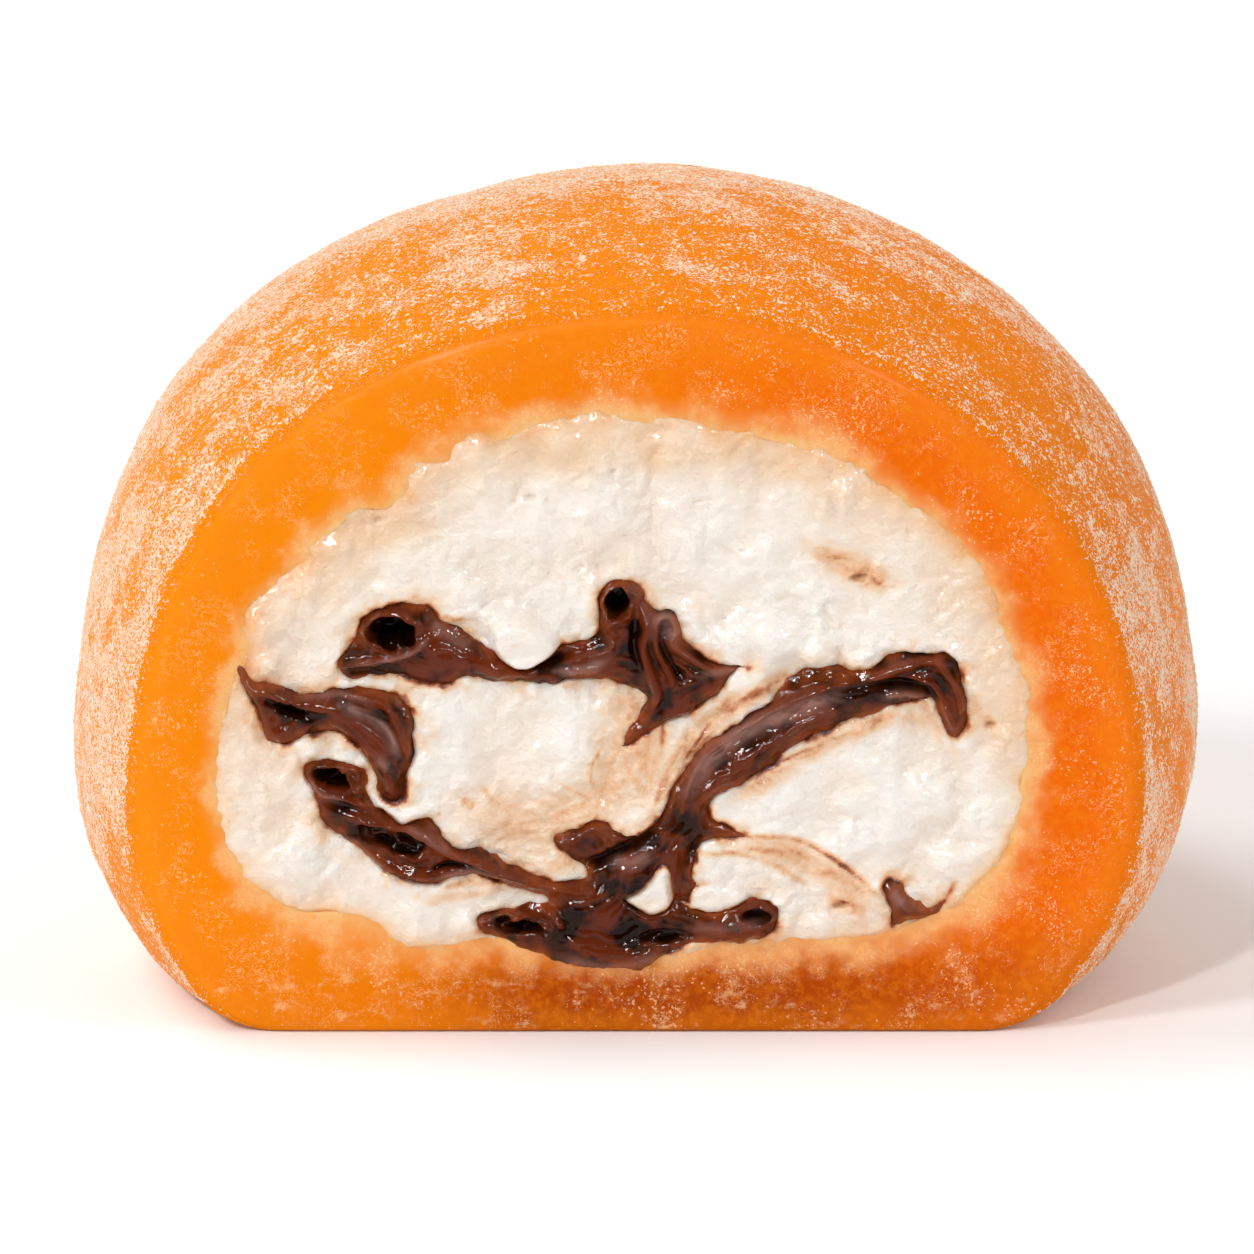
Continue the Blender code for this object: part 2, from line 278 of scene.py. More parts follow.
def section(profile, depth, shares):
    """Points (x, z) at these shares of the way round the D that a cut at this depth gives."""
    depth = abs(depth)
    r, z = profile[:, 0], profile[:, 1]
    kept = np.flatnonzero(r >= depth)
    first, last = kept[0], kept[-1]
    x = np.sqrt(np.maximum(r[first:last + 1] ** 2 - depth ** 2, 0))
    height = z[first:last + 1]
    if first > 0:
        share = (depth - r[first - 1]) / (r[first] - r[first - 1])
        x = np.append(0.0, x)
        height = np.append(z[first - 1] + (z[first] - z[first - 1]) * share, height)
    if last < len(r) - 1:
        share = (depth - r[last]) / (r[last + 1] - r[last])
        x = np.append(x, 0.0)
        height = np.append(height, z[last] + (z[last + 1] - z[last]) * share)
    reach = np.append(0, np.cumsum(np.hypot(np.diff(x), np.diff(height))))
    way = reach[-1] * (1 - np.abs(1 - 2 * np.asarray(shares)))
    side = np.where(np.asarray(shares) <= 0.5, 1.0, -1.0)
    return side * np.interp(way, reach, x), np.interp(way, reach, height)


def hollow_section(depth, shares):
    """The hollow's D, its floor pressed down in the middle by the chocolate's weight."""
    x, z = section(HOLLOW, depth, shares)
    low = np.clip(1 - (z - HOLLOW_FLOOR) / HOLLOW_ROUND, 0, None)
    return x, z - low * SAG * np.exp(-((x / SAG_WIDTH) ** 2) - (depth / RADIUS) ** 2)


def hand_shaped(x, z):
    """The slight lean and swell of soft dough, as the solids have it."""
    rise = z / HEIGHT
    swell = 1 + 0.010 * np.sin(2.4 * math.pi * rise + 0.8)
    sag = 0.00022 * np.sin(210 * x + 0.7) * rise
    return x * swell + 0.00035 * np.sin(math.pi * rise), z + sag


# %% [markdown]
# ## Where the filling really ends
# The knife pushed the soft filling about, so its edge isn't a clean D. These pixels follow that
# edge in the photograph. Seen from the hollow's middle, each direction gets its own stretch,
# and the same stretch, weaker with depth, bends the hollow and the filling alike.

# %% The filling's edge
FILLING_EDGE = [
    (600, 411), (640, 413), (700, 421), (760, 428), (804, 441), (842, 456), (880, 478), (920, 505),
    (955, 535), (985, 566), (1003, 600), (1014, 640), (1026, 680), (1033, 720), (1031, 780),
    (1022, 820), (1006, 855), (984, 882), (958, 907), (928, 925), (890, 937), (850, 943),
    (800, 944), (750, 946), (700, 951), (650, 962), (600, 962), (550, 952), (500, 945),
    (450, 949), (404, 949), (372, 928), (334, 918), (296, 917), (264, 901), (240, 871),
    (224, 840), (214, 800), (212, 760), (215, 720), (224, 690), (238, 660), (243, 628),
    (258, 594), (298, 566), (308, 541), (332, 520), (350, 503), (380, 502), (407, 488),
    (413, 464), (440, 455), (470, 432), (500, 432), (530, 420), (568, 418),
]
MIDDLE = np.array([0.0, HOLLOW_BELT])


def spline(points, closed, steps=7):
    """A smooth line through pixels of the photograph, as points on the cut face."""
    p = on_cut(points)
    if closed:
        before, after, later = np.roll(p, 1, 0), np.roll(p, -1, 0), np.roll(p, -2, 0)
    else:
        padded = np.concatenate([[2 * p[0] - p[1]], p, [2 * p[-1] - p[-2]]])
        before, p, after, later = padded[:-3], padded[1:-2], padded[2:-1], padded[3:]
    t = (np.arange(steps) / steps)[:, None, None]
    line = 0.5 * (
        2 * p + (after - before) * t + (2 * before - 5 * p + 4 * after - later) * t ** 2
        + (3 * p - before - 3 * after + later) * t ** 3
    )
    line = line.transpose(1, 0, 2).reshape(-1, 2)
    return line if closed else np.concatenate([line, after[-1:]])


def polar(x, z):
    return np.arctan2(z - MIDDLE[1], x - MIDDLE[0]), np.hypot(x - MIDDLE[0], z - MIDDLE[1])


def around_curve(loop):
    """A loop round the middle, as its directions and radii in order."""
    way, reach = polar(loop[:, 0], loop[:, 1])
    order = np.argsort(way)
    return way[order], reach[order]


edge_way, edge_reach = around_curve(spline(FILLING_EDGE, closed=True))
plain_way, plain_reach = around_curve(
    np.stack(hand_shaped(*hollow_section(CUT, np.linspace(0, 1, 721)[:-1])), -1)
)
print("the filling's edge is drawn in", len(edge_way), "directions")


def to_drawn_edge(x, z, depth, overlap=0.0):
    """Bends a hand-shaped outline of the hollow to the filling's real edge."""
    way, reach = polar(x, z)
    drawn = np.interp(way, edge_way, edge_reach, period=2 * np.pi)
    plain = np.interp(way, plain_way, plain_reach, period=2 * np.pi)
    fade = 1 - smooth(depth, CUT + 1 * MM, CUT + 14 * MM)
    reach = reach * (1 + (drawn / plain - 1) * fade) + overlap
    return MIDDLE[0] + reach * np.cos(way), MIDDLE[1] + reach * np.sin(way)


# %% [markdown]
# ## The dough skin
# A modeller could spin the profile and cut the ball, but then the cut's edge has uneven faces.
# Here a flat grid is wrapped instead, like cling film: its columns go round the D and its rows
# go from the back of the dome to the front, over the soft rim, across the knife's band and back
# into the hollow. The last column meets the first, and doubles are merged.

# %% Rows of the skin
AROUND = 420
ROWS_OUT, ROWS_RIM, ROWS_BAND, ROWS_LIP, ROWS_IN = 84, 8, 30, 5, 12

shares = np.linspace(0, 1, AROUND + 1)


def depths_to_back(radius, start, count):
    first = math.asin(start / radius)
    return radius * np.sin(first + (math.pi / 2 - first) * np.arange(count + 1) / count)


def inward(x, z, distance):
    """The outline moved inwards by this distance."""
    dx, dz = np.gradient(np.append(x[:-1], x[:2])), np.gradient(np.append(z[:-1], z[:2]))
    dx, dz = dx[:len(x)], dz[:len(x)]
    dx[0] = dx[-1] = (x[1] - x[-2]) / 2
    dz[0] = dz[-1] = (z[1] - z[-2]) / 2
    length = np.hypot(dx, dz)
    return x - dz / length * distance, z + dx / length * distance


FILLING_OVERLAP = 0.50 * MM


def hollow_at(depth, outwards):
    """The skin's own edge of the hollow, a little inside the edge of the filling."""
    x, z = hand_shaped(*hollow_section(depth, shares))
    return to_drawn_edge(x, z, depth, outwards - FILLING_OVERLAP)


def rim_at(z):
    """The rim is softer at the top than where it stands on the ground."""
    return RIM_ROUND * (0.35 + 0.65 * smooth(z, 0.4 * MM, 3.0 * MM))


print("rows of the skin:", ROWS_OUT + ROWS_RIM + ROWS_BAND + ROWS_LIP + ROWS_IN)

# %% [markdown]
# ## From the shell into the hollow
# Every row carries one more number, its share of the way across the knife's band: 0 on the
# shell, 1 in the hollow, and between them on the rim, the band and the lip. The material reads
# it later to tell dusty dough from bare dough.

# %% Lay the rows
AT_RIM, AT_LIP = 0.16, 0.94
ALMOST = 0.999999

rows, across = [], []


def add_row(x, z, depth, share_of_band):
    rows.append(np.stack([x, np.broadcast_to(depth, x.shape), z], -1))
    across.append(share_of_band)


for depth in depths_to_back(RADIUS, CUT + RIM_ROUND, ROWS_OUT)[::-1]:
    x, z = section(DOUGH, min(depth, RADIUS * ALMOST), shares)
    add_row(*hand_shaped(x, z), depth, 0.0)
for step in range(1, ROWS_RIM + 1):
    turn = math.pi / 2 * (1 - step / ROWS_RIM)
    x, z = section(DOUGH, CUT + RIM_ROUND * (1 - math.cos(turn)), shares)
    bend = rim_at(z)
    x, z = hand_shaped(*inward(x, z, bend * (1 - math.sin(turn))))
    depth = CUT + bend * (1 - math.cos(turn))
    add_row(x, z, depth, AT_RIM * smooth(step / ROWS_RIM, 0.2, 1.0))
edge_x, edge_z = section(DOUGH, CUT, shares)
edge_x, edge_z = hand_shaped(*inward(edge_x, edge_z, rim_at(edge_z)))
lip_x, lip_z = hollow_at(CUT, LIP_ROUND)
for step in range(1, ROWS_BAND + 1):
    t = step / ROWS_BAND
    x, z = edge_x + (lip_x - edge_x) * t, edge_z + (lip_z - edge_z) * t
    add_row(x, z, CUT, AT_RIM + (AT_LIP - AT_RIM) * t)
for step in range(1, ROWS_LIP + 1):
    turn = math.pi / 2 * step / ROWS_LIP
    depth = CUT + LIP_ROUND * (1 - math.cos(turn))
    x, z = hollow_at(depth, LIP_ROUND * (1 - math.sin(turn)))
    add_row(x, z, depth, AT_LIP + (1 - AT_LIP) * step / ROWS_LIP)
for depth in depths_to_back(HOLLOW_RADIUS, CUT + LIP_ROUND, ROWS_IN)[1:]:
    add_row(*hollow_at(min(depth, HOLLOW_RADIUS * ALMOST), 0.0), depth, 1.0)
skin = np.array(rows)
across = np.array(across)
print("skin grid:", skin.shape[0], "rows of", skin.shape[1])

# %% [markdown]
# ## Relief of the skin
# Rice dough is stretched by hand, so the shell has shallow dents a few millimetres wide. The
# knife drags the bare band into faint steps, and its inner edge is ragged where the filling
# pulled away. The moves are along each point's normal, found from its neighbours in the grid.


# %% Raise the skin's relief
def grid_normals(grid):
    """Outward normals of a wrapped grid of points."""
    wrapped = np.concatenate([grid[:, -2:-1], grid, grid[:, 1:2]], 1)
    along = np.gradient(grid, axis=0)
    round_it = (wrapped[:, 2:] - wrapped[:, :-2]) / 2
    normal = np.cross(along, round_it)
    return normal / np.maximum(np.linalg.norm(normal, axis=2, keepdims=True), 1e-12)


normals = grid_normals(skin)
if (normals[ROWS_OUT // 2] * (skin[ROWS_OUT // 2] - [0, 0, BELT])).sum() < 0:
    normals = -normals
X, Y, Z = skin[..., 0], skin[..., 1], skin[..., 2]
outside = (across == 0)[:, None] * np.ones_like(X)
band = smooth(across, 0.05, 0.2)[:, None] * (1 - smooth(across, 0.97, 1.0))[:, None]
dents = 0.10 * hills(X + Y * 0.6, Z + Y * 0.8, 5.5 * MM, 11)
dents += 0.045 * hills(X - Y * 0.7, Z + Y * 0.7, 2.1 * MM, 12)
dents += 0.014 * hills(X + Y, Z - Y, 0.75 * MM, 13)
scores = 0.055 * hills(X, Z, 2.6 * MM, 14) + 0.022 * hills(X, Z * 1.6, 0.8 * MM, 15)
off_ground = smooth(Z, 0.1 * MM, 1.2 * MM)
raised = (dents * outside * off_ground + scores * band) * MM
skin = skin + normals * raised[..., None]
skin[:, -1] = skin[:, 0]
print("skin box", skin.reshape(-1, 3).min(0).round(5), skin.reshape(-1, 3).max(0).round(5))

# %% [markdown]
# ## How starch lies
# Starch clings in patches and long wipes that follow the fingers. It is thick on the left, and
# thin at the top right and low on the left. More is laid at the sides and behind the crown, where
# the dome's outline is seen: partly starch, partly painted sheen of the backlit rim. One map of
# it, worked out here, serves both the painted flecks on the dough and the loose grains that are
# scattered on it later. It reads places in space, so it has no seam where the grid closes.

# %% Starch map
patches = 0.44 * hills(X + 0.5 * Y, Z + Y, 6.5 * MM, 21)
wipes = 0.26 * hills(0.55 * X, 1.5 * Y, 2.6 * MM, 22) + 0.26 * hills(0.55 * Z, 1.5 * Y, 2.4 * MM, 24)
small_wipes = 0.20 * hills(0.8 * X - Z, 1.4 * Y + 0.5 * Z, 1.2 * MM, 23)
on_left = 0.20 * smooth(-X, 2 * MM, 18 * MM)
# at the sides and behind the crown, where the outline is seen: partly starch, partly painted sheen of the
# backlit rim
starch_and_sheen_at_sides = 0.26 * smooth(np.abs(X), 17 * MM, 23 * MM) * (1 - 0.7 * smooth(Y, 0, 8 * MM))
starch_and_sheen_behind_crown = 0.62 * smooth(Y, -5 * MM, 5 * MM) - 0.42 * smooth(Y, 6 * MM, 15 * MM)
at_top_right = 0.16 * smooth(X, 0, 16 * MM) * smooth(Z, 16 * MM, 24 * MM)
at_low_left = 0.34 * smooth(Z, 11 * MM, 5 * MM) * smooth(-X, 10 * MM, 20 * MM)
starch_and_rim_sheen = 0.43 + patches + wipes + small_wipes
starch_and_rim_sheen += on_left + starch_and_sheen_at_sides + starch_and_sheen_behind_crown - at_top_right - at_low_left
starch_and_rim_sheen = np.clip(starch_and_rim_sheen, 0.05, 1.15) * outside
print("mean starch on the shell:", round(float(starch_and_rim_sheen[across == 0].mean()), 2))

# %% [markdown]
# ## The skin as a mesh
# A flat grid with as many rows and columns takes the points worked out above. Two numbers ride
# along on each of its points, for the material: the share across the band and the starch map,
# which holds painted rim sheen too.

# %% Wrap the grid
bpy.ops.mesh.primitive_grid_add(x_subdivisions=AROUND, y_subdivisions=len(skin) - 1, size=1)
dough = bpy.context.object
dough.name = "mochi_dough"
flat = np.empty(len(dough.data.vertices) * 3)
dough.data.vertices.foreach_get("co", flat)
flat = flat.reshape(-1, 3)
column = np.rint((flat[:, 0] + 0.5) * AROUND).astype(int)
row = np.rint((flat[:, 1] + 0.5) * (len(skin) - 1)).astype(int)
dough.data.vertices.foreach_set("co", skin[row, column].ravel())


def paint(obj, name, values):
    """Keeps one number for each vertex, for the material to read."""
    layer = obj.data.attributes.new(name, "FLOAT", "POINT")
    layer.data.foreach_set("value", np.ascontiguousarray(values, dtype=np.float32))


paint(dough, "across", across[row])
paint(dough, "starch_and_rim_sheen", starch_and_rim_sheen[row, column])


def finish_mesh(obj, merge=0.000001):
    """Merges doubles, turns the faces outwards and shades them smooth."""
    bpy.context.view_layer.objects.active = obj
    obj.select_set(True)
    bpy.ops.object.mode_set(mode="EDIT")
    bpy.ops.mesh.select_all(action="SELECT")
    bpy.ops.mesh.remove_doubles(threshold=merge)
    bpy.ops.mesh.normals_make_consistent(inside=False)
    bpy.ops.object.mode_set(mode="OBJECT")
    bpy.ops.object.shade_smooth()
    obj.select_set(False)
    print(obj.name, "has", len(obj.data.polygons), "faces")


finish_mesh(dough)
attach(dough, "root")
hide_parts("mochi_skin")

# %% [markdown]
# ## Building materials
# Each finish is a small graph of nodes. These helpers add a node, do a sum, ease one range of
# numbers into another, blend two colours and make a noise of a stated width, so that a
# material reads as a few lines.


# %% Node helpers
class Finish:
    """A material under construction."""

    def __init__(self, name, roughness, **fixed):
        self.material = bpy.data.materials.new(name)
        self.material.use_nodes = True
        self.tree = self.material.node_tree
        self.shader = self.tree.nodes["Principled BSDF"]
        self.shader.inputs["Roughness"].default_value = roughness
        for socket, value in fixed.items():
            self.shader.inputs[socket.replace("_", " ")].default_value = value

    def add(self, kind, inputs=(), **settings):
        node = self.tree.nodes.new("ShaderNode" + kind)
        for key, value in settings.items():
            setattr(node, key, value)
        for socket, value in dict(inputs).items():
            self.feed(node.inputs[socket], value)
        return node

    def feed(self, socket, value):
        if isinstance(value, bpy.types.NodeSocket):
            self.tree.links.new(value, socket)
        else:
            socket.default_value = value

    def sum(self, operation, a, b=0.0):
        node = self.add("Math", operation=operation)
        for socket, value in zip(node.inputs, (a, b)):
            self.feed(socket, value)
        return node.outputs[0]

    def slope(self, value, low, high, to_low=0.0, to_high=1.0):
        node = self.add("MapRange", interpolation_type="SMOOTHSTEP")
        for socket, item in zip(node.inputs, (value, low, high, to_low, to_high)):
            self.feed(socket, item)
        return node.outputs[0]

    def blend(self, share, first, second, mode="MIX"):
        node = self.add("Mix", data_type="RGBA", blend_type=mode)
        for socket, value in zip((node.inputs[0], node.inputs[6], node.inputs[7]),
                                 (share, first, second)):
            self.feed(socket, value)
        return node.outputs[2]

    def noise(self, where, size, detail=2.0, stretch=(1, 1, 1), rough=0.5, curl=0.0):
        """Random cloud whose blobs are about this size across, from 0 to 1; curl twists it."""
        scale = self.add("Mapping", {"Vector": where, "Scale": stretch})
        node = self.add("TexNoise", {
            "Vector": scale.outputs[0], "Scale": 0.5 / size, "Detail": detail,
            "Roughness": rough, "Distortion": curl,
        })
        return node.outputs["Fac"]

    def ramp(self, value, stops):
        node = self.add("ValToRGB", {"Fac": value})
        elements = node.color_ramp.elements
        while len(elements) < len(stops):
            elements.new(0.5)
        for element, (place, colour) in zip(elements, stops):
            element.position = place
            element.color = (*colour, 1)
        return node.outputs["Color"]

    def bump(self, height, distance, under=None):
        node = self.add("Bump", {"Height": height, "Distance": distance, "Strength": 1.0})
        if under is not None:
            self.feed(node.inputs["Normal"], under)
        return node.outputs[0]

    def read(self, name):
        return self.add("Attribute", attribute_name=name).outputs["Fac"]


def from_screen(red, green, blue):
    """A colour as a screen shows it, 0 to 255, as the light that it stands for."""
    shown = np.array([red, green, blue]) / 255
    return tuple(np.where(shown <= 0.04045, shown / 12.92, ((shown + 0.055) / 1.055) ** 2.4))


# %% [markdown]
# ## Dough
# Cooked rice dough is a gel: light goes in, turns orange and comes out a little way on. So the
# shader scatters light under the surface. The body is painted yellower on the left, the lit side
# (painted light, with some random tone), and browner along the bottom below the filling (painted shade).

# %% Body of the dough
DEEP_ORANGE = from_screen(240, 107, 0)
YELLOW_ORANGE = from_screen(251, 141, 0)
SHADED_ORANGE = from_screen(176, 68, 0)
PALE_ORANGE = from_screen(255, 192, 128)
RIM_ORANGE = from_screen(249, 146, 28)
SPECK_ORANGE = from_screen(255, 206, 150)
STARCH = from_screen(255, 222, 194)
DUST_ORANGE = from_screen(255, 204, 148)

rice = Finish(
    "orange_rice_dough", 0.42,
    Subsurface_Weight=0.30, Subsurface_Scale=0.0010, Subsurface_Radius=(1.0, 0.42, 0.12),
    Sheen_Weight=0.01, Sheen_Roughness=0.35, Sheen_Tint=(1.0, 0.80, 0.70, 1),
    Specular_IOR_Level=0.035, Coat_Weight=0.012, Coat_Roughness=0.10,
)
place = rice.add("TexCoord").outputs["Object"]
band_share = rice.read("across")
# the starch map, with painted sheen at the dome's outline in it
starch_and_sheen_here = rice.read("starch_and_rim_sheen")

cloud = rice.noise(place, 3.5 * MM, 3.0)
spot = rice.add("SeparateXYZ", {"Vector": place}).outputs
side, height_here = spot["X"], spot["Z"]
# painted light: yellower towards the lit left side, mixed with random tone
lit_left_and_tone = rice.sum("ADD", rice.slope(side, 22 * MM, -22 * MM), rice.sum("MULTIPLY", cloud, 0.5))
body = rice.blend(rice.slope(lit_left_and_tone, 0.2, 1.3), (*DEEP_ORANGE, 1), (*YELLOW_ORANGE, 1))
# painted shade: browner low down below the filling, most in the middle and to the right
under = rice.slope(height_here, 6.0 * MM, 1.8 * MM)
under = rice.sum("MULTIPLY", under, rice.slope(side, -12 * MM, -2 * MM, 0.15, 1.0))
under = rice.sum("MULTIPLY", under, rice.slope(side, 18 * MM, 6 * MM, 0.55, 1.0))
body = rice.blend(under, body, (*SHADED_ORANGE, 1))
print("the deepest orange is", [round(float(value), 3) for value in DEEP_ORANGE])

# %% [markdown]
# ## The bare band
# The knife left the band smooth and damp. It is paler towards the rim and towards the filling,
# and fine pale threads and fibres run through it, which are bands of a noise around its middle
# value.

# %% Bare dough
blotch = rice.noise(place, 0.8 * MM, 4.0)
mottled = rice.sum("ADD", band_share, rice.slope(blotch, 0.3, 0.7, -0.10, 0.10))
edge_pale = rice.slope(mottled, 0.58, 1.0)
body = rice.blend(edge_pale, body, (*PALE_ORANGE, 1))
rim_pale = rice.sum("MULTIPLY", rice.slope(mottled, 0.40, 0.12), rice.slope(band_share, 0.0, 0.08))
body = rice.blend(rice.sum("MULTIPLY", rim_pale, 0.32), body, (*RIM_ORANGE, 1))
fibres = rice.noise(place, 0.18 * MM, 4.0, rough=0.65)
body = rice.blend(rice.slope(fibres, 0.42, 0.68, 0.0, 0.30), body, (*RIM_ORANGE, 1))
curls = rice.noise(place, 0.24 * MM, 2.0, rough=0.6, curl=1.6)
off_middle = rice.sum("ABSOLUTE", rice.sum("SUBTRACT", curls, 0.5))
thread = rice.sum("MULTIPLY", rice.slope(off_middle, 0.028, 0.004), rice.slope(blotch, 0.42, 0.62))
thread = rice.sum("MULTIPLY", thread, rice.slope(band_share, 0.06, 0.14, 0.0, 0.45))
body = rice.blend(thread, body, (*SPECK_ORANGE, 1))
print("the band is bare from", AT_RIM, "to", AT_LIP, "of the way")

# %% [markdown]
# ## Flecks of starch
# A twisted noise gives curly flecks a seventh of a millimetre wide. Where the starch map is
# high, the limit above which the noise counts as starch is low, so the flecks join up.

# %% Starched dough
fleck_field = rice.noise(place, 0.145 * MM, 1.5, curl=2.4)
patch_field = rice.noise(place, 0.7 * MM, 3.0)
cover = rice.sum("ADD", starch_and_sheen_here, rice.slope(patch_field, 0.35, 0.7, -0.25, 0.25))
limit = rice.slope(cover, 0.0, 1.1, 0.63, 0.45)
fleck = rice.slope(rice.sum("SUBTRACT", fleck_field, limit), 0.0, 0.035)
on_shell = rice.slope(band_share, 0.07, 0.0)
fleck = rice.sum("MULTIPLY", fleck, on_shell)
film = rice.sum("MULTIPLY", rice.slope(cover, 0.5, 1.25, 0.0, 0.12), on_shell)
shell_body = rice.blend(rice.sum("MULTIPLY", on_shell, 0.55), body, (*YELLOW_ORANGE, 1))
dusty = rice.blend(film, shell_body, (*DUST_ORANGE, 1))
dusty = rice.blend(rice.sum("MULTIPLY", fleck, 0.88), dusty, (*STARCH, 1))
print("the flecks are", [round(float(value), 3) for value in STARCH])

# %% [markdown]
# ## Specks and crumbs
# Pale specks lie anywhere on the bare band, and crumbs of starch along the bottom and beside
# the cream. The flecks and fibres also raise the surface a little.

# %% Specks, gloss and grain of the dough
speck_field = rice.noise(place, 0.075 * MM, 1.0)
speck_patch = rice.noise(place, 1.6 * MM, 2.0)
speck_limit = rice.slope(speck_patch, 0.3, 0.75, 0.78, 0.60)
speck = rice.slope(rice.sum("SUBTRACT", speck_field, speck_limit), 0.0, 0.05)
low = rice.slope(height_here, 4.6 * MM, 1.2 * MM)
clump = rice.noise(place, 0.24 * MM, 4.0, stretch=(0.6, 1, 1), rough=0.7)
clumped = rice.sum("MULTIPLY", rice.slope(clump, 0.52, 0.66), rice.slope(blotch, 0.40, 0.62))
by_cream = rice.slope(band_share, 0.78, 1.0, 0.0, 0.75)
wipe = rice.sum("MULTIPLY", clumped, rice.sum("MAXIMUM", rice.sum("MULTIPLY", low, 0.60), by_cream))
on_band = rice.slope(band_share, 0.05, 0.14)
speck = rice.sum("MULTIPLY", rice.sum("MAXIMUM", rice.sum("MULTIPLY", speck, 0.6), wipe), on_band)
final = rice.blend(speck, dusty, (*SPECK_ORANGE, 1))
rice.feed(rice.shader.inputs["Base Color"], final)
rough = rice.sum("ADD", rice.slope(on_shell, 0, 1, 0.32, 0.50), rice.sum("MULTIPLY", fleck, 0.2))
rice.feed(rice.shader.inputs["Roughness"], rough)
fine = rice.bump(rice.sum("MULTIPLY", fleck_field, on_shell), 0.16 * MM)
wet = rice.bump(fibres, 0.05 * MM, under=fine)
rice.feed(rice.shader.inputs["Normal"], rice.bump(blotch, 0.10 * MM, under=wet))
dough.data.materials.append(rice.material)

# %% [markdown]
# ## Outlines of the chocolate
# The sauce was folded through the marshmallow, and the knife cut across its folds. The outlines
# are those of the solids, in pixels of the photograph, and a spline carries them round.

# %% Outlines
RIBBONS = {
    "chocolate_upper": [
        (334, 664), (346, 648), (356, 630), (362, 616), (378, 606), (396, 600), (414, 600),
        (432, 606), (440, 618), (456, 626), (470, 637), (488, 648), (504, 655), (520, 657),
        (540, 654), (552, 646), (572, 642), (588, 638), (597, 626), (599, 608), (600, 592),
        (612, 582), (628, 579), (642, 587), (646, 602), (658, 608), (671, 610), (679, 622),
        (681, 636), (694, 646), (706, 656), (724, 662), (752, 665), (736, 671), (726, 682),
        (716, 694), (700, 706), (680, 717), (664, 724), (646, 734), (622, 749), (627, 732),
        (640, 714), (648, 700), (640, 690), (618, 680), (592, 680), (560, 683), (530, 682),
        (500, 679), (470, 677), (445, 684), (420, 682), (395, 675), (372, 674), (352, 678),
    ],
    "chocolate_left": [
        (238, 664), (252, 678), (264, 682), (285, 687), (300, 693), (318, 691), (338, 687),
        (360, 686), (385, 690), (402, 696), (413, 706), (418, 722), (415, 740), (416, 756),
        (410, 772), (404, 794), (394, 803), (386, 803), (378, 790), (376, 776), (364, 756),
        (350, 740), (334, 732), (314, 733), (296, 739), (280, 744), (268, 739), (262, 724),
        (256, 708), (248, 697), (242, 682),
    ],
    "chocolate_lower": [
        (304, 770), (314, 761), (330, 757), (350, 762), (364, 774), (367, 790), (376, 803),
        (392, 812), (412, 817), (430, 815), (440, 825), (447, 838), (461, 847), (478, 849),
        (494, 855), (513, 867), (535, 876), (560, 879), (584, 876), (583, 865), (568, 855),
        (556, 845), (562, 834), (576, 826), (592, 817), (606, 820), (616, 830), (634, 833),
        (650, 824), (662, 806), (674, 782), (688, 765), (702, 748), (720, 732),
        (744, 716), (766, 702), (784, 688), (798, 674), (814, 668), (834, 668), (852, 672),
        (868, 669), (882, 658), (898, 650), (916, 651), (932, 652), (948, 650), (959, 658),
        (964, 678), (968, 698), (967, 722), (959, 738), (948, 734), (942, 718), (934, 702),
        (920, 697), (900, 704), (874, 713), (846, 722), (818, 733), (792, 748), (768, 768),
        (744, 784), (724, 792), (712, 802), (712, 815), (726, 824), (746, 836), (722, 838),
        (704, 843), (696, 856), (696, 874), (700, 890), (690, 902), (678, 900), (694, 910),
        (716, 910), (736, 903), (752, 897), (768, 898), (780, 908), (780, 922), (768, 934),
        (744, 940), (712, 942), (684, 946), (662, 956), (640, 968), (612, 972), (584, 968),
        (556, 962), (540, 954), (520, 946), (500, 938), (482, 930), (480, 921), (494, 914),
        (512, 909), (536, 904), (548, 900), (536, 892), (516, 884), (496, 880), (474, 872),
        (456, 876), (436, 884), (414, 882), (392, 874), (374, 862), (360, 846), (344, 836),
        (328, 828), (318, 816), (316, 800), (308, 786),
    ],
    "chocolate_corner": [
        (884, 884), (892, 880), (902, 883), (907, 894), (918, 904), (932, 908), (946, 899),
        (938, 912), (922, 918), (906, 922), (892, 926), (890, 910), (886, 896),
    ],
}


def to_line(x, z, line):
    """Each point's distance to a line, the way along it (0 to 1) and the nearest spot on it."""
    near = np.full(x.shape, np.inf)
    share = np.zeros(x.shape)
    spot = np.zeros(x.shape + (2,))
    for k, ((ax, az), (bx, bz)) in enumerate(zip(line[:-1], line[1:])):
        ux, uz = bx - ax, bz - az
        t = np.clip(((x - ax) * ux + (z - az) * uz) / max(ux * ux + uz * uz, 1e-18), 0, 1)
        qx, qz = ax + ux * t, az + uz * t
        gap = np.hypot(x - qx, z - qz)
        closer = gap < near
        near = np.where(closer, gap, near)
        share = np.where(closer, (k + t) / (len(line) - 1), share)
        spot[closer, 0], spot[closer, 1] = qx[closer], qz[closer]
    return near, share, spot


def within(x, z, loop):
    """True where a point lies inside the loop."""
    odd = np.zeros(x.shape, bool)
    for (ax, az), (bx, bz) in zip(loop, np.roll(loop, -1, 0)):
        spans = (az > z) != (bz > z)
        with np.errstate(divide="ignore", invalid="ignore"):
            odd ^= spans & (x < (bx - ax) * (z - az) / (bz - az) + ax)
    return odd


FAR = 2.0 * MM


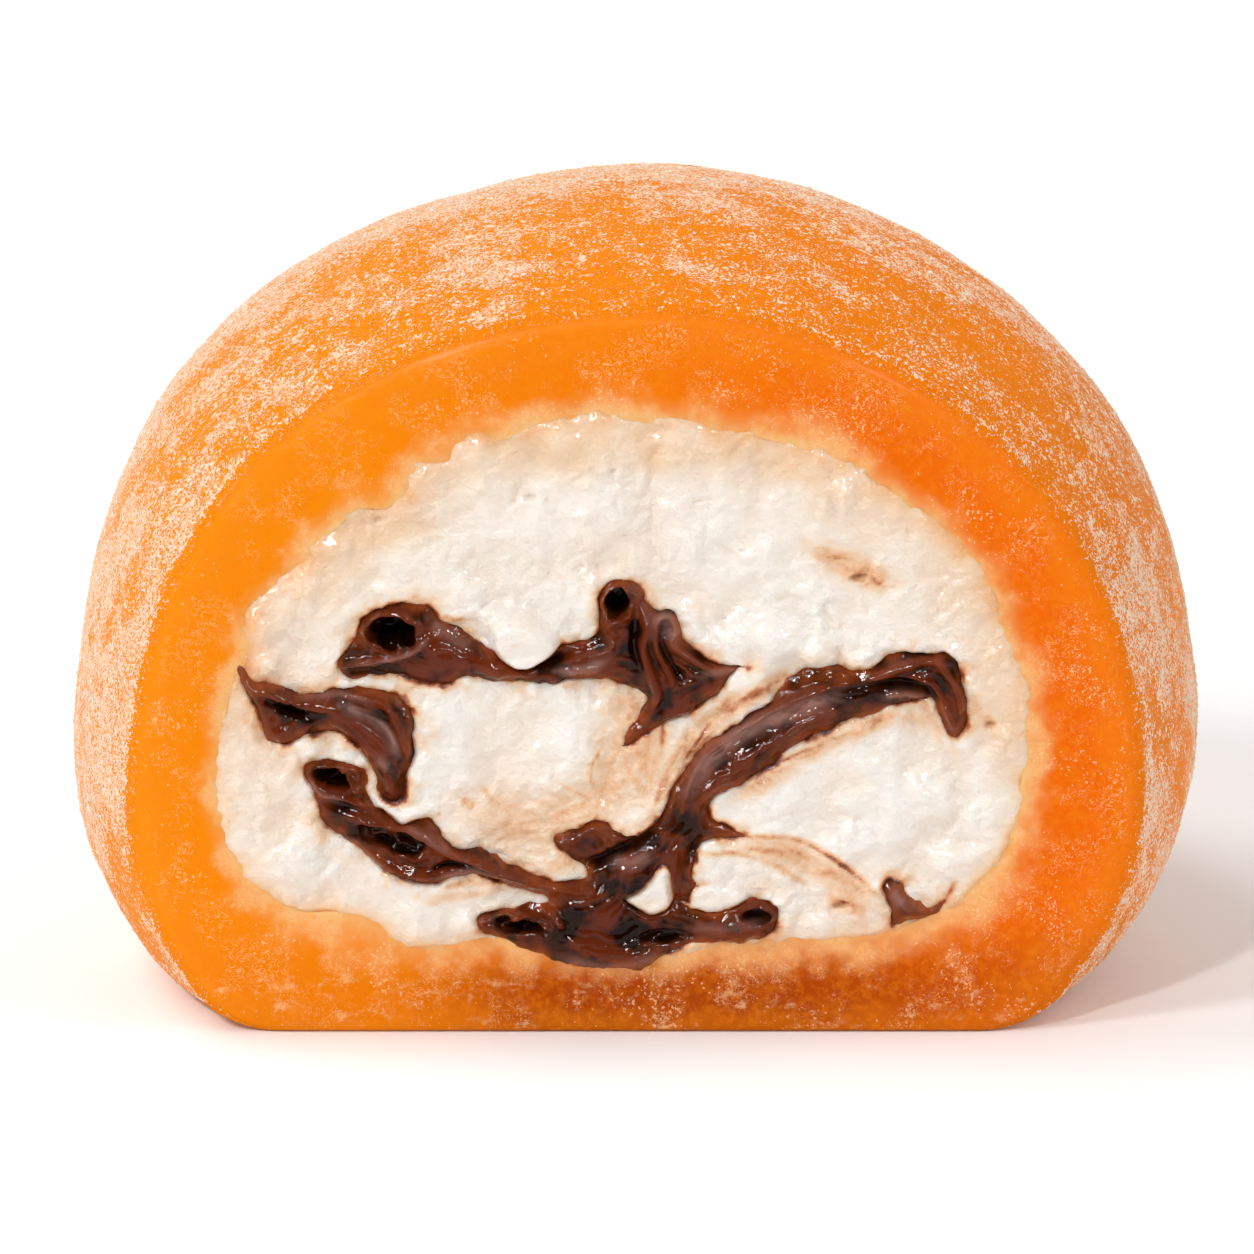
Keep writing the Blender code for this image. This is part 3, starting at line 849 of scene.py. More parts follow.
def depth_inside(x, z, loop):
    """How far inside the loop each point is; below 0 is outside, and past 2 mm isn't measured."""
    depth = np.full(x.shape, -FAR)
    grow = np.zeros(x.shape + (2,))
    low, high = loop.min(0) - FAR, loop.max(0) + FAR
    near = (x > low[0]) & (x < high[0]) & (z > low[1]) & (z < high[1])
    gap, _, spot = to_line(x[near], z[near], np.concatenate([loop, loop[:1]]))
    sign = np.where(within(x[near], z[near], loop), 1.0, -1.0)
    depth[near] = np.maximum(gap * sign, -FAR)
    away = np.stack([x[near], z[near]], -1) - spot
    grow[near] = sign[:, None] * away / np.maximum(gap, 1e-9)[:, None]
    return depth, grow


def wobble(x, z):
    """Moves points a little, so that an outline drawn through them is torn and not smooth."""
    dx = 0.12 * hills(x, z, 1.2 * MM, 31) + 0.08 * hills(x, z, 0.5 * MM, 32)
    dz = 0.12 * hills(x, z, 1.2 * MM, 33) + 0.08 * hills(x, z, 0.5 * MM, 34)
    dz += 0.03 * hills(x, z, 0.2 * MM, 35)
    return x + dx * MM, z + dz * MM


loops = {name: spline(points, closed=True) for name, points in RIBBONS.items()}
print("outlines with", sum(len(loop) for loop in loops.values()), "points")

# %% [markdown]
# ## Strokes
# Folds and smears all follow lines, so each is a stroke: a few points, a width and a strength.
# A raised stroke makes a fold of sauce, a sunk one a crease, and on the cream the same kind of
# stroke carries a stain. Where a bubble of air burst, a bowl with a lip is left.

# %% Folds, creases and bubbles of the chocolate
FOLDS = {  # each: points, half-width in pixels, height in millimetres
    "chocolate_upper": [
        ([(338, 665), (373, 657), (404, 652), (430, 634)], 4.0, 0.30),
        ([(415, 640), (450, 654), (494, 666), (540, 668)], 11.0, 0.22),
        ([(572, 658), (589, 654), (609, 647), (613, 637)], 4.0, 0.28),
        ([(560, 674), (581, 668), (604, 664)], 4.0, 0.24),
        ([(643, 591), (647, 624), (643, 647), (651, 672), (657, 694), (632, 720), (622, 740)],
         5.0, 0.42),
        ([(654, 616), (657, 644), (668, 667), (674, 684)], 4.5, 0.34),
        ([(676, 618), (673, 641), (693, 657), (714, 667), (744, 667)], 4.0, 0.30),
        ([(600, 590), (604, 612), (614, 634)], 4.5, 0.24),
        ([(727, 676), (705, 694), (676, 712), (655, 718)], 7.0, 0.20),
        ([(348, 672), (366, 670), (386, 672)], 5.0, -0.35),
        ([(500, 657), (530, 662), (566, 652)], 6.0, -0.45),
        ([(660, 626), (664, 650), (684, 680)], 3.0, -0.30),
        ([(636, 612), (634, 640), (640, 664)], 4.0, -0.22),
    ],
    "chocolate_left": [
        ([(246, 672), (262, 688), (295, 697), (335, 705), (360, 719), (383, 738), (391, 756)],
         8.0, 0.34),
        ([(326, 717), (344, 724), (360, 740)], 3.0, 0.22),
        ([(353, 691), (383, 699), (396, 716), (403, 738), (408, 756)], 5.0, 0.36),
        ([(408, 706), (410, 730), (409, 752)], 3.0, 0.20),
        ([(378, 752), (389, 776), (393, 792)], 5.0, 0.30),
        ([(392, 752), (400, 772)], 3.0, 0.22),
        ([(258, 700), (268, 722), (284, 738)], 7.0, 0.22),
        ([(262, 693), (284, 706), (312, 716)], 5.0, -0.42),
        ([(342, 704), (365, 714), (383, 724), (396, 744)], 4.0, -0.35),
    ],
    "chocolate_lower": [
        ([(308, 778), (323, 791), (338, 793), (357, 799), (380, 806)], 3.5, 0.34),
        ([(319, 807), (368, 816), (415, 828), (446, 845), (482, 858), (516, 874), (558, 884),
          (604, 890)], 6.0, 0.34),
        ([(330, 826), (366, 850), (390, 866), (424, 874), (452, 868)], 6.0, 0.32),
        ([(430, 826), (446, 850), (484, 862), (520, 878)], 4.0, 0.26),
        ([(452, 874), (486, 873), (516, 884), (548, 896)], 3.5, 0.26),
        ([(500, 903), (530, 897), (552, 910), (566, 926)], 4.5, 0.40),
        ([(562, 846), (584, 829), (604, 824), (628, 838)], 6.0, 0.26),
        ([(640, 832), (662, 812), (678, 786)], 5.0, 0.26),
        ([(842, 680), (804, 692), (764, 712), (728, 734), (702, 756), (688, 784), (680, 812)], 3.5, 0.42),
        ([(850, 702), (806, 718), (766, 742), (730, 768), (704, 792), (692, 816)], 5.0, 0.24),
        ([(868, 680), (900, 664), (930, 657), (948, 666)], 6.0, 0.34),
        ([(912, 672), (934, 686), (946, 708), (955, 730)], 4.0, 0.40),
        ([(940, 662), (956, 686), (962, 714)], 4.0, 0.32),
        ([(884, 694), (904, 690), (924, 696)], 4.0, 0.24),
        ([(690, 850), (692, 870), (697, 884)], 4.0, 0.30),
        ([(679, 838), (672, 864), (678, 884), (686, 890)], 6.0, 0.34),
        ([(600, 952), (640, 956), (690, 946), (740, 936), (768, 918)], 7.0, 0.22),
        ([(560, 936), (604, 948), (640, 950)], 6.0, 0.18),
        ([(716, 908), (744, 903), (768, 908)], 4.0, 0.26),
        ([(668, 790), (658, 814), (638, 838), (606, 855), (580, 866)], 5.0, -0.65),
        ([(862, 684), (900, 680), (926, 684), (941, 702)], 4.0, -0.40),
        ([(638, 936), (666, 931), (698, 936)], 4.0, -0.50),
        ([(700, 830), (694, 846), (686, 862)], 3.5, -0.30),
        ([(432, 868), (448, 862), (470, 864)], 3.0, -0.35),
    ],
    "chocolate_corner": [
        ([(890, 888), (898, 904), (912, 914)], 5.0, 0.20),
    ],
}
BUBBLES = {  # each: middle, two half-widths and turn in degrees, depth in millimetres
    "chocolate_upper": [
        (391, 631, 24, 17, 4, 1.9), (617, 602, 13, 16, 0, 1.8), (666, 626, 8, 12, 0, 0.30),
    ],
    "chocolate_left": [(290, 708, 22, 7, -22, 0.7)],
    "chocolate_lower": [
        (335, 776, 23, 11, -8, 1.1), (394, 838, 38, 12, -18, 0.75), (520, 923, 33, 10, -4, 0.9),
        (756, 914, 15, 8, 0, 0.7), (668, 936, 24, 6, 4, 0.6),
    ],
    "chocolate_corner": [],
}
FILMS = {  # folds inside the bubbles: points, half-width in pixels, height in millimetres
    "chocolate_upper": [
        ([(384, 642), (396, 640), (402, 632)], 3.0, 0.9),
        ([(620, 612), (626, 614)], 3.5, 0.8),
    ],
    "chocolate_left": [],
    "chocolate_lower": [
        ([(346, 772), (352, 780), (358, 789)], 2.5, 0.9),
        ([(322, 782), (336, 776), (344, 768)], 3.0, 0.5),
        ([(366, 830), (386, 832), (404, 840), (420, 848)], 4.0, 0.55),
        ([(392, 844), (402, 842)], 4.0, 0.45),
        ([(500, 926), (516, 918), (536, 920), (550, 926)], 3.5, 0.75),
        ([(520, 930), (530, 922)], 3.0, 0.5),
    ],
    "chocolate_corner": [],
}
# paler streaks: partly cream folded into the sauce, partly painted sheen where broad faces catch the
# gloss
MILKY_AND_SHEEN_STREAKS = {  # paler sauce: points, half-width in pixels, strength from 0 to 1
    "chocolate_upper": [
        ([(657, 612), (668, 622), (674, 636)], 9.0, 0.75),
        ([(556, 668), (582, 666), (606, 656)], 5.0, 0.55),
        ([(430, 622), (448, 632), (470, 645)], 6.0, 0.35),
        ([(700, 672), (726, 668), (750, 666)], 4.0, 0.35),
        ([(346, 667), (380, 658), (410, 650), (428, 636)], 3.0, 0.45),
    ],
    "chocolate_left": [
        ([(300, 694), (340, 692), (372, 700)], 3.0, 0.40),
        ([(376, 756), (390, 764)], 6.0, 0.40),
        ([(340, 700), (357, 709), (373, 717), (388, 730), (398, 752)], 4.0, 1.0),
    ],
    "chocolate_lower": [
        ([(688, 790), (706, 760), (730, 738), (766, 718), (804, 704), (834, 696)], 8.0, 0.80),
        ([(884, 694), (904, 690), (926, 696)], 4.0, 0.45),
        ([(612, 858), (632, 860), (650, 850)], 7.0, 0.45),
        ([(306, 780), (324, 792), (342, 796)], 3.0, 0.45),
        ([(404, 822), (430, 834), (452, 848)], 4.0, 0.30),
        ([(560, 958), (610, 966), (660, 954)], 7.0, 0.35),
        ([(690, 925), (730, 925), (764, 918)], 5.0, 0.25),
        ([(440, 876), (470, 870), (500, 878)], 4.0, 0.40),
    ],
    "chocolate_corner": [([(892, 888), (902, 902)], 5.0, 0.5)],
}
print("folds:", {name: len(folds) for name, folds in FOLDS.items()})


# %% A stroke and a bubble
def stroke(x, z, points, half_width):
    """1 on the middle of a stroke, fading to its sides and its two ends."""
    line = spline(points, closed=False)
    width = half_width * PIXEL
    value = np.zeros(x.shape)
    low, high = line.min(0) - 3 * width, line.max(0) + 3 * width
    near = (x > low[0]) & (x < high[0]) & (z > low[1]) & (z < high[1])
    gap, share, _ = to_line(x[near], z[near], line)
    ends = smooth(np.minimum(share, 1 - share), -0.02, 0.16)
    value[near] = np.exp(-((gap / width) ** 2)) * (0.25 + 0.75 * ends)
    return value


def bubble(x, z, middle_x, middle_y, wide, high, turn):
    """Distance from a bubble's middle, in units of its own half-widths."""
    mx, mz = on_cut([(middle_x, middle_y)])[0]
    c, s = math.cos(math.radians(turn)), math.sin(math.radians(turn))
    u = ((x - mx) * c + (z - mz) * s) / (wide * PIXEL)
    v = (-(x - mx) * s + (z - mz) * c) / (high * PIXEL)
    return np.hypot(u, v)


# %% [markdown]
# ## Drips of cream over the chocolate
# In a few spots the marshmallow slid over the sauce before it set. There the channel in the
# cream is filled again and stands above the chocolate, and the chocolate ducks under it.

# %% Drips
DRIPS = [  # each: outline in pixels, height in millimetres
    ([(374, 794), (388, 800), (402, 804), (418, 802), (428, 808), (416, 816), (402, 824),
      (390, 814)], 0.62),
    ([(662, 862), (670, 866), (672, 880), (674, 896), (668, 908), (652, 915), (636, 909),
      (623, 897), (638, 888), (650, 876)], 0.40),
    ([(692, 888), (712, 882), (734, 888), (748, 898), (730, 908), (706, 911), (690, 903)], 0.32),
    ([(494, 620), (520, 612), (548, 624), (560, 640), (548, 657), (524, 667), (502, 658),
      (490, 640)], 1.10),
]
drip_loops = [(spline(outline, closed=True), tall) for outline, tall in DRIPS]
print("drips over the sauce:", len(drip_loops))

# %% [markdown]
# ## The cream's face
# Whipped marshmallow tears when it is cut: it breaks into soft lumps, and the knife combs fine
# streaks into it. It is too soft for hard edges and too uneven for a tool to model, so its face
# is a dense grid whose heights come from layers of hills, lumps and pits that stand where the
# photograph shows them, with channels where the ribbons lie.

# %% Lumps, pits and stains
LUMPS = [  # each: pixel, half-width in pixels, height in millimetres
    (516, 628, 26, 0.85), (498, 616, 22, 0.35), (470, 600, 30, 0.25), (545, 628, 20, 0.35),
    (335, 548, 20, 0.45), (300, 580, 24, 0.30), (262, 628, 20, 0.30), (268, 664, 15, 0.35),
    (420, 480, 26, 0.30), (470, 448, 26, 0.35), (560, 440, 28, 0.35), (640, 440, 30, 0.20),
    (820, 652, 20, 0.50), (856, 660, 15, 0.45), (780, 640, 28, 0.30), (736, 640, 22, 0.30),
    (700, 610, 22, 0.30), (980, 600, 24, 0.30), (1000, 660, 22, 0.30), (1010, 740, 22, 0.25),
    (920, 800, 40, 0.30), (860, 780, 40, 0.25), (790, 800, 30, 0.20), (950, 860, 24, 0.35),
    (430, 935, 20, 0.35), (470, 925, 18, 0.35), (318, 745, 16, 0.35), (352, 740, 14, 0.25),
    (300, 850, 40, 0.25), (470, 720, 40, 0.15), (560, 760, 50, 0.20), (770, 880, 30, 0.20),
    (820, 925, 18, 0.25), (900, 530, 30, 0.15), (760, 560, 30, 0.20), (600, 520, 40, 0.20),
]
PITS = [  # each: pixel, half-widths in pixels, depth in millimetres
    (531, 497, 7, 3, 0.30), (859, 577, 12, 5, 0.40), (990, 724, 7, 5, 0.34), (842, 903, 11, 6, 0.34),
    (485, 604, 7, 3, 0.25), (516, 636, 7, 2, 0.18), (416, 470, 9, 6, 0.35), (380, 520, 10, 5, 0.25),
    (700, 500, 6, 3, 0.12), (610, 470, 8, 4, 0.15), (466, 801, 6, 4, 0.15),
]
# painted warm light from the dough and painted shade where the cream dips
LIGHT_AND_SHADE_PATCHES = [  # each: middle, two half-widths and turn in degrees, strength from 0 to 1
    (350, 545, 120, 55, 38, 0.8), (790, 460, 130, 36, -18, 0.8), (1000, 690, 36, 130, 0, 0.6),
    (260, 800, 60, 90, 0, 0.5), (560, 450, 140, 40, 4, 0.7),
    (700, 440, 210, 45, -3, 0.8), (610, 560, 60, 40, 0, 0.40), (850, 510, 110, 40, -28, 0.30),
    (520, 790, 110, 40, 10, 0.30), (960, 610, 50, 70, 0, 0.35), (290, 560, 60, 30, 35, 0.50),
    (820, 870, 100, 30, -15, 0.35), (230, 740, 26, 90, 0, 0.35), (650, 740, 40, 60, 0, 0.45),
]
STAINS = [  # each: points, half-width in pixels, strength from 0 to 1
    ([(470, 812), (520, 828), (570, 812), (610, 790), (650, 770)], 26.0, 0.34),
    ([(610, 690), (640, 720), (640, 770), (650, 800)], 24.0, 0.36),
    ([(560, 780), (590, 800), (600, 812)], 3.0, 0.40),
    ([(606, 740), (590, 770), (600, 800)], 2.5, 0.42),
    ([(480, 786), (500, 806), (540, 836)], 2.0, 0.42),
    ([(650, 690), (664, 712), (660, 750)], 4.0, 0.62),
    ([(740, 700), (714, 720), (690, 752), (676, 778)], 3.0, 0.62),
    ([(760, 690), (730, 704), (704, 728)], 4.0, 0.50),
    ([(775, 762), (800, 752), (836, 736), (866, 728)], 3.0, 0.62),
    ([(740, 780), (760, 772), (790, 764)], 6.0, 0.50),
    ([(655, 690), (636, 716), (622, 748), (616, 790)], 20.0, 0.30),
    ([(700, 726), (680, 752), (664, 784), (650, 808)], 9.0, 0.42),
    ([(742, 690), (706, 720), (684, 748)], 7.0, 0.50),
    ([(806, 672), (770, 684), (730, 708), (700, 740), (672, 782)], 9.0, 0.52),
    ([(664, 740), (650, 780), (640, 808)], 6.0, 0.34),
    ([(598, 716), (606, 760), (590, 806)], 16.0, 0.16),
    ([(905, 708), (866, 724), (820, 746), (774, 772), (734, 796)], 10.0, 0.40),
    ([(900, 716), (930, 722)], 10.0, 0.25),
    ([(716, 820), (740, 834), (772, 834), (804, 842), (834, 857), (858, 877), (888, 902)], 3.0, 0.80),
    ([(730, 846), (770, 846), (810, 862), (846, 884), (872, 904)], 11.0, 0.42),
    ([(700, 852), (740, 852), (776, 864), (808, 886)], 3.5, 0.42),
    ([(826, 902), (846, 902), (866, 914)], 12.0, 0.38),
    ([(838, 903), (850, 902)], 6.0, 0.48),
    ([(812, 546), (838, 560), (868, 575), (890, 578)], 12.0, 0.52),
    ([(850, 575), (868, 578)], 7.0, 0.44),
    ([(984, 714), (991, 728)], 6.0, 0.36),
    ([(461, 799), (468, 803), (475, 804)], 4.0, 0.72),
    ([(430, 614), (448, 618), (466, 618)], 5.0, 0.50),
    ([(510, 638), (522, 633)], 1.6, 0.70),
    ([(440, 884), (480, 880), (530, 876)], 6.0, 0.42),
    ([(420, 900), (460, 894), (500, 890)], 6.0, 0.22),
    ([(248, 700), (256, 730), (280, 750)], 9.0, 0.20),
    ([(340, 690), (380, 690), (420, 700)], 5.0, 0.22),
    ([(500, 862), (540, 866), (584, 862)], 9.0, 0.30),
    ([(470, 840), (520, 850), (560, 850)], 12.0, 0.16),
    ([(916, 690), (930, 712), (940, 740)], 7.0, 0.40),
    ([(972, 690), (980, 720)], 8.0, 0.18),
    ([(955, 880), (948, 896), (930, 912)], 3.5, 0.55),
    ([(610, 760), (640, 740), (660, 720)], 8.0, 0.24),
    ([(672, 700), (700, 690), (730, 682)], 6.0, 0.20),
    ([(452, 812), (480, 830), (520, 842)], 14.0, 0.12),
]
print(len(LUMPS), "lumps,", len(PITS), "pits and", len(STAINS), "stains")


# %% Height of the cream
def cream_relief(x, z, to_edge, sauce):
    """Height of the cream in front of the cut, and its low spots for painted shade, this far inside its
    edge.
    """
    u, v = x * 0.80 + z * 0.60, -x * 0.60 + z * 0.80
    height = 0.34 * hills(x, z, 3.6 * MM, 41) + 0.26 * hills(x, z, 1.7 * MM, 42)
    torn = smooth(hills(x, z, 2.6 * MM, 47), -0.35, 0.55)
    bent_x, bent_z = x + 0.25 * MM * hills(x, z, 1.1 * MM, 48), z + 0.25 * MM * hills(x, z, 1.1 * MM, 49)
    puffs = np.sqrt(hills(bent_x, bent_z, 1.10 * MM, 43) ** 2 + 0.02) - 0.3
    crumbs = np.sqrt(hills(bent_x, bent_z, 0.52 * MM, 50) ** 2 + 0.02) - 0.3
    height += (0.12 + 0.22 * torn) * puffs + (0.03 + 0.11 * torn) * crumbs
    height += 0.075 * hills(bent_x, bent_z, 0.62 * MM, 58)
    # the low spots, where the material paints shade
    hollow_shade = smooth(-height, -0.10, 0.32)
    height += (0.030 + 0.030 * torn) * hills(u * 0.60, v, 0.34 * MM, 44)
    height += (0.018 + 0.020 * torn) * hills(u * 0.70, v, 0.22 * MM, 45)
    for px, py, half, tall in LUMPS:
        reach = bubble(x, z, px, py, half, half * 0.8, 15) + 0.12 * hills(x, z, 0.9 * MM, 46)
        height += tall * (1 - smooth(reach, 0.25, 1.25))
    for px, py, wide, high, deep in PITS:
        height -= deep * (1 - smooth(bubble(x, z, px, py, wide, high, 10), 0.2, 1.15))
    near_edge = smooth(to_edge, 0.1 * MM, 1.5 * MM)
    height = height * (0.45 + 0.55 * near_edge) + 0.04 + 0.09 * near_edge
    height -= 0.26 * (1 - smooth(to_edge, 0.0, 0.50 * MM))
    height += 0.05 * np.exp(-(((sauce + 0.42 * MM) / (0.30 * MM)) ** 2))
    height -= 1.5 * smooth(sauce, -0.03 * MM, 0.48 * MM)
    for bubbles in BUBBLES.values():
        for px, py, wide, high, turn, deep in bubbles:
            height -= deep * (1 - smooth(bubble(x, z, px, py, wide, high, turn), 0.9, 1.5))
    return height * MM, hollow_shade


print("the cream rises", max(tall for *_, tall in LUMPS), "mm at its tallest lump")

# %% [markdown]
# ## The sauce's face
# Thick sauce stands a little proud in a round rope, with flow lines along its edge where it was
# folded, drawn folds and creases on top, and bubbles sunk into it.

# %% Height of the sauce
PAST_OUTLINE = 0.36 * MM


def ribbon_relief(x, z, name, inside):
    """Height of the chocolate in front of the cut, and how far folds raise it, in metres."""
    rise = 0.92 * (1 - np.exp(-(inside + PAST_OUTLINE) / (0.20 * MM)))
    rope = 0.34 * (1 - np.exp(-np.maximum(inside, 0) / (0.60 * MM)))
    body = smooth(inside, 0.0, 0.35 * MM)
    way = inside / (0.46 * MM) + 1.1 * hills(x, z, 2.3 * MM, 53) + 0.35 * hills(x, z, 0.8 * MM, 54)
    flow = (0.5 + 0.5 * np.cos(2 * math.pi * way)) ** 1.5
    fold = 0.11 * flow * body * smooth(hills(x, z, 1.9 * MM, 55), -0.6, 0.4)
    for points, half_width, tall in FOLDS[name]:
        fold += 1.15 * tall * stroke(x, z, points, half_width) * (0.35 + 0.65 * body)
    for px, py, wide, high, turn, deep in BUBBLES[name]:
        reach = bubble(x, z, px, py, wide, high, turn) + 0.30 * hills(x, z, 0.7 * MM, 56)
        fold *= smooth(reach, 0.8, 1.1)
        fold -= deep * (1 - smooth(reach, 0.35, 1.02))
        lip = 0.10 + 0.16 * smooth(hills(x, z, 1.0 * MM, 57), -0.4, 0.5)
        fold += lip * np.exp(-(((reach - 1.14) / 0.17) ** 2))
    for points, half_width, tall in FILMS[name]:
        fold += tall * stroke(x, z, points, half_width)
    fold += 0.090 * hills(x, z, 1.3 * MM, 51) + 0.045 * hills(x, z, 0.50 * MM, 52)
    level = -0.79 + 0.13 * hills(x, z, 1.7 * MM, 59)
    for drip, _ in drip_loops:
        under = depth_inside(x, z, drip)[0]
        level = level - 0.7 * smooth(under, -0.05 * MM, 0.15 * MM)
    return (rise + rope + fold + level) * MM, fold * MM


# %% [markdown]
# ## Cutting a face out of a grid
# The cream and each ribbon start as a flat grid over their box. Faces outside the outline are
# deleted, points on the border are pulled on to it, and the rest are moved to their heights.


# %% Grid faces
def face_grid(name, low, high, cell, keep):
    """A grid on the cut plane with only the faces whose middles pass the test."""
    size = np.asarray(high) - np.asarray(low)
    count = np.ceil(size / cell).astype(int)
    bpy.ops.object.select_all(action="DESELECT")
    bpy.ops.mesh.primitive_grid_add(
        x_subdivisions=int(count[0]), y_subdivisions=int(count[1]), size=1
    )
    obj = bpy.context.object
    obj.name = name
    mesh = obj.data
    points = get_points(mesh)
    x, z = low[0] + (points[:, 0] + 0.5) * size[0], low[1] + (points[:, 1] + 0.5) * size[1]
    mesh.vertices.foreach_set("co", np.stack([x, np.full(len(x), CUT), z], -1).ravel())
    middle = np.empty(len(mesh.polygons) * 3)
    mesh.update()
    mesh.polygons.foreach_get("center", middle)
    middle = middle.reshape(-1, 3)
    bpy.ops.object.mode_set(mode="EDIT")
    bpy.ops.mesh.select_all(action="DESELECT")
    bpy.ops.mesh.select_mode(type="FACE")
    bpy.ops.object.mode_set(mode="OBJECT")
    mesh.polygons.foreach_set("select", ~keep(middle[:, 0], middle[:, 2]))
    bpy.ops.object.mode_set(mode="EDIT")
    bpy.ops.mesh.delete(type="FACE")
    bpy.ops.mesh.select_mode(type="VERT")
    bpy.ops.object.mode_set(mode="OBJECT")
    return obj


def get_points(mesh):
    points = np.empty(len(mesh.vertices) * 3)
    mesh.vertices.foreach_get("co", points)
    return points.reshape(-1, 3)


def border(mesh):
    """True for the vertices on the open edge."""
    edges = np.empty(len(mesh.edges) * 2, int)
    mesh.edges.foreach_get("vertices", edges)
    corners = np.empty(len(mesh.loops), int)
    mesh.loops.foreach_get("edge_index", corners)
    single = np.bincount(corners, minlength=len(mesh.edges)) == 1
    mark = np.zeros(len(mesh.vertices), bool)
    mark[edges.reshape(-1, 2)[single].ravel()] = True
    return mark


def select_border(obj):
    bpy.context.view_layer.objects.active = obj
    bpy.ops.object.mode_set(mode="EDIT")
    bpy.ops.mesh.select_all(action="DESELECT")
    bpy.ops.mesh.select_mode(type="EDGE")
    bpy.ops.mesh.select_non_manifold(
        extend=False, use_wire=False, use_boundary=True,
        use_multi_face=False, use_non_contiguous=False, use_verts=False,
    )


# %% [markdown]
# ## The cream
# The face is made first: a fine grid inside a ragged edge, raised by the relief and sunk into
# channels wherever it lies inside an outline of the chocolate.

# %% Cream face
CREAM_CELL = 0.108 * MM
around_hollow = np.linspace(0, 1, 1201)[:-1]
hx, hz = hand_shaped(*hollow_section(CUT, around_hollow))
ragged = 0.12 * hills(hx, hz, 1.5 * MM, 61) + 0.17 * hills(hx, hz, 0.7 * MM, 62)
ragged += 0.10 * hills(hx, hz, 0.33 * MM, 63) + 0.10
cream_loop = np.stack(to_drawn_edge(hx, hz, CUT, ragged * MM), -1)


def sauce_depth(x, z):
    """How far inside the nearest chocolate outline each point is."""
    wx, wz = wobble(x, z)
    return np.max([depth_inside(wx, wz, loop)[0] for loop in loops.values()], axis=0)


cream = face_grid(
    "marshmallow_cream", cream_loop.min(0), cream_loop.max(0), CREAM_CELL,
    lambda x, z: within(x, z, cream_loop),
)
points = get_points(cream.data)
edge = border(cream.data)
x, z = points[:, 0], points[:, 2]
to_edge, grow = depth_inside(x, z, cream_loop)
to_edge[(to_edge == -FAR) & within(x, z, cream_loop)] = FAR
x = np.where(edge, x - to_edge * grow[:, 0], x)
z = np.where(edge, z - to_edge * grow[:, 1], z)
to_edge = np.where(edge, 0, np.maximum(to_edge, 0))
sauce = sauce_depth(x, z)
dripped = np.full(x.shape, -FAR)
lifted = np.zeros(x.shape)
for drip, tall in drip_loops:
    under = depth_inside(x, z, drip)[0]
    dripped = np.maximum(dripped, under)
    lifted += tall * MM * smooth(under, -0.10 * MM, 0.35 * MM)
open_sauce = np.minimum(sauce, -dripped)
relief, hollow_shade = cream_relief(x, z, to_edge, open_sauce)
relief = relief * (1 - 0.6 * smooth(dripped, 0, 0.2 * MM)) + lifted
points[:, 0], points[:, 1], points[:, 2] = x, CUT - relief - 0.04 * MM, z
cream.data.vertices.foreach_set("co", points.ravel())
front_count = len(points)
print("cream face with", front_count, "points")

# %% [markdown]
# ## Stains on the cream
# Sauce soaks into the cream beside it, a dark line with a paler halo, both patchy. The drawn
# smears are split into veins that run along each smear, with a slight bend, as fingers of sauce
# do. One number for each point holds how brown it is.

# %% Stains
streak_u, streak_v = x * 0.72 + z * 0.69, -x * 0.69 + z * 0.72
streaks = 0.5 + 0.6 * hills(streak_u * 0.3, streak_v, 0.42 * MM, 71)
streaks = np.clip(streaks + 0.3 * hills(x, z, 0.3 * MM, 72), 0, 1.3)
near_sauce = np.maximum(-sauce, 0)
patchy = smooth(hills(x, z, 1.3 * MM, 73) + 0.5 * hills(x, z, 0.45 * MM, 74), -0.45, 0.75)
stain = 0.62 * np.exp(-near_sauce / (0.09 * MM)) * (0.10 + 0.90 * patchy)
stain += 0.52 * np.exp(-near_sauce / (0.42 * MM)) * (0.4 + 0.6 * streaks) * patchy
for k, (points_px, half_width, strength) in enumerate(STAINS):
    spread = stroke(x, z, points_px, half_width)
    ends = on_cut([points_px[0], points_px[-1]])
    run, climb = (ends[1] - ends[0]) / max(np.linalg.norm(ends[1] - ends[0]), 1e-9)
    along, aside = x * run + z * climb, z * run - x * climb
    bend = 0.5 * MM * hills(x, z, 2.4 * MM, 160 + k)
    veins = 0.62 + 0.42 * hills(along * 0.22, aside + bend, 0.42 * MM, 80 + k)
    veins += 0.26 * hills(along * 0.25, aside + bend, 0.20 * MM, 120 + k)
    stain = np.maximum(stain, 1.3 * strength * spread * np.clip(veins, 0.20, 1.25))
stain *= 1 - 0.95 * smooth(dripped, -0.04 * MM, 0.10 * MM)
ring_of_drip = smooth(dripped, -0.2 * MM, 0.0) * (1 - smooth(dripped, 0.0, 0.22 * MM))
stain += 0.50 * ring_of_drip * smooth(sauce, -0.05 * MM, 0.10 * MM)
stain = np.clip(stain, 0, 1)
print("stained share of the cream:", round(float((stain > 0.2).mean()), 2))

# %% [markdown]
# ## The body of the cream
# The border of the face is extruded back again and again, and the last ring is closed, so the
# cream is one whole body. The extruded points come in no set order. Each still lies on the
# border point that it came from, and this tells its place round the hollow. Its ring is the
# count of points that came before it from the same spot.

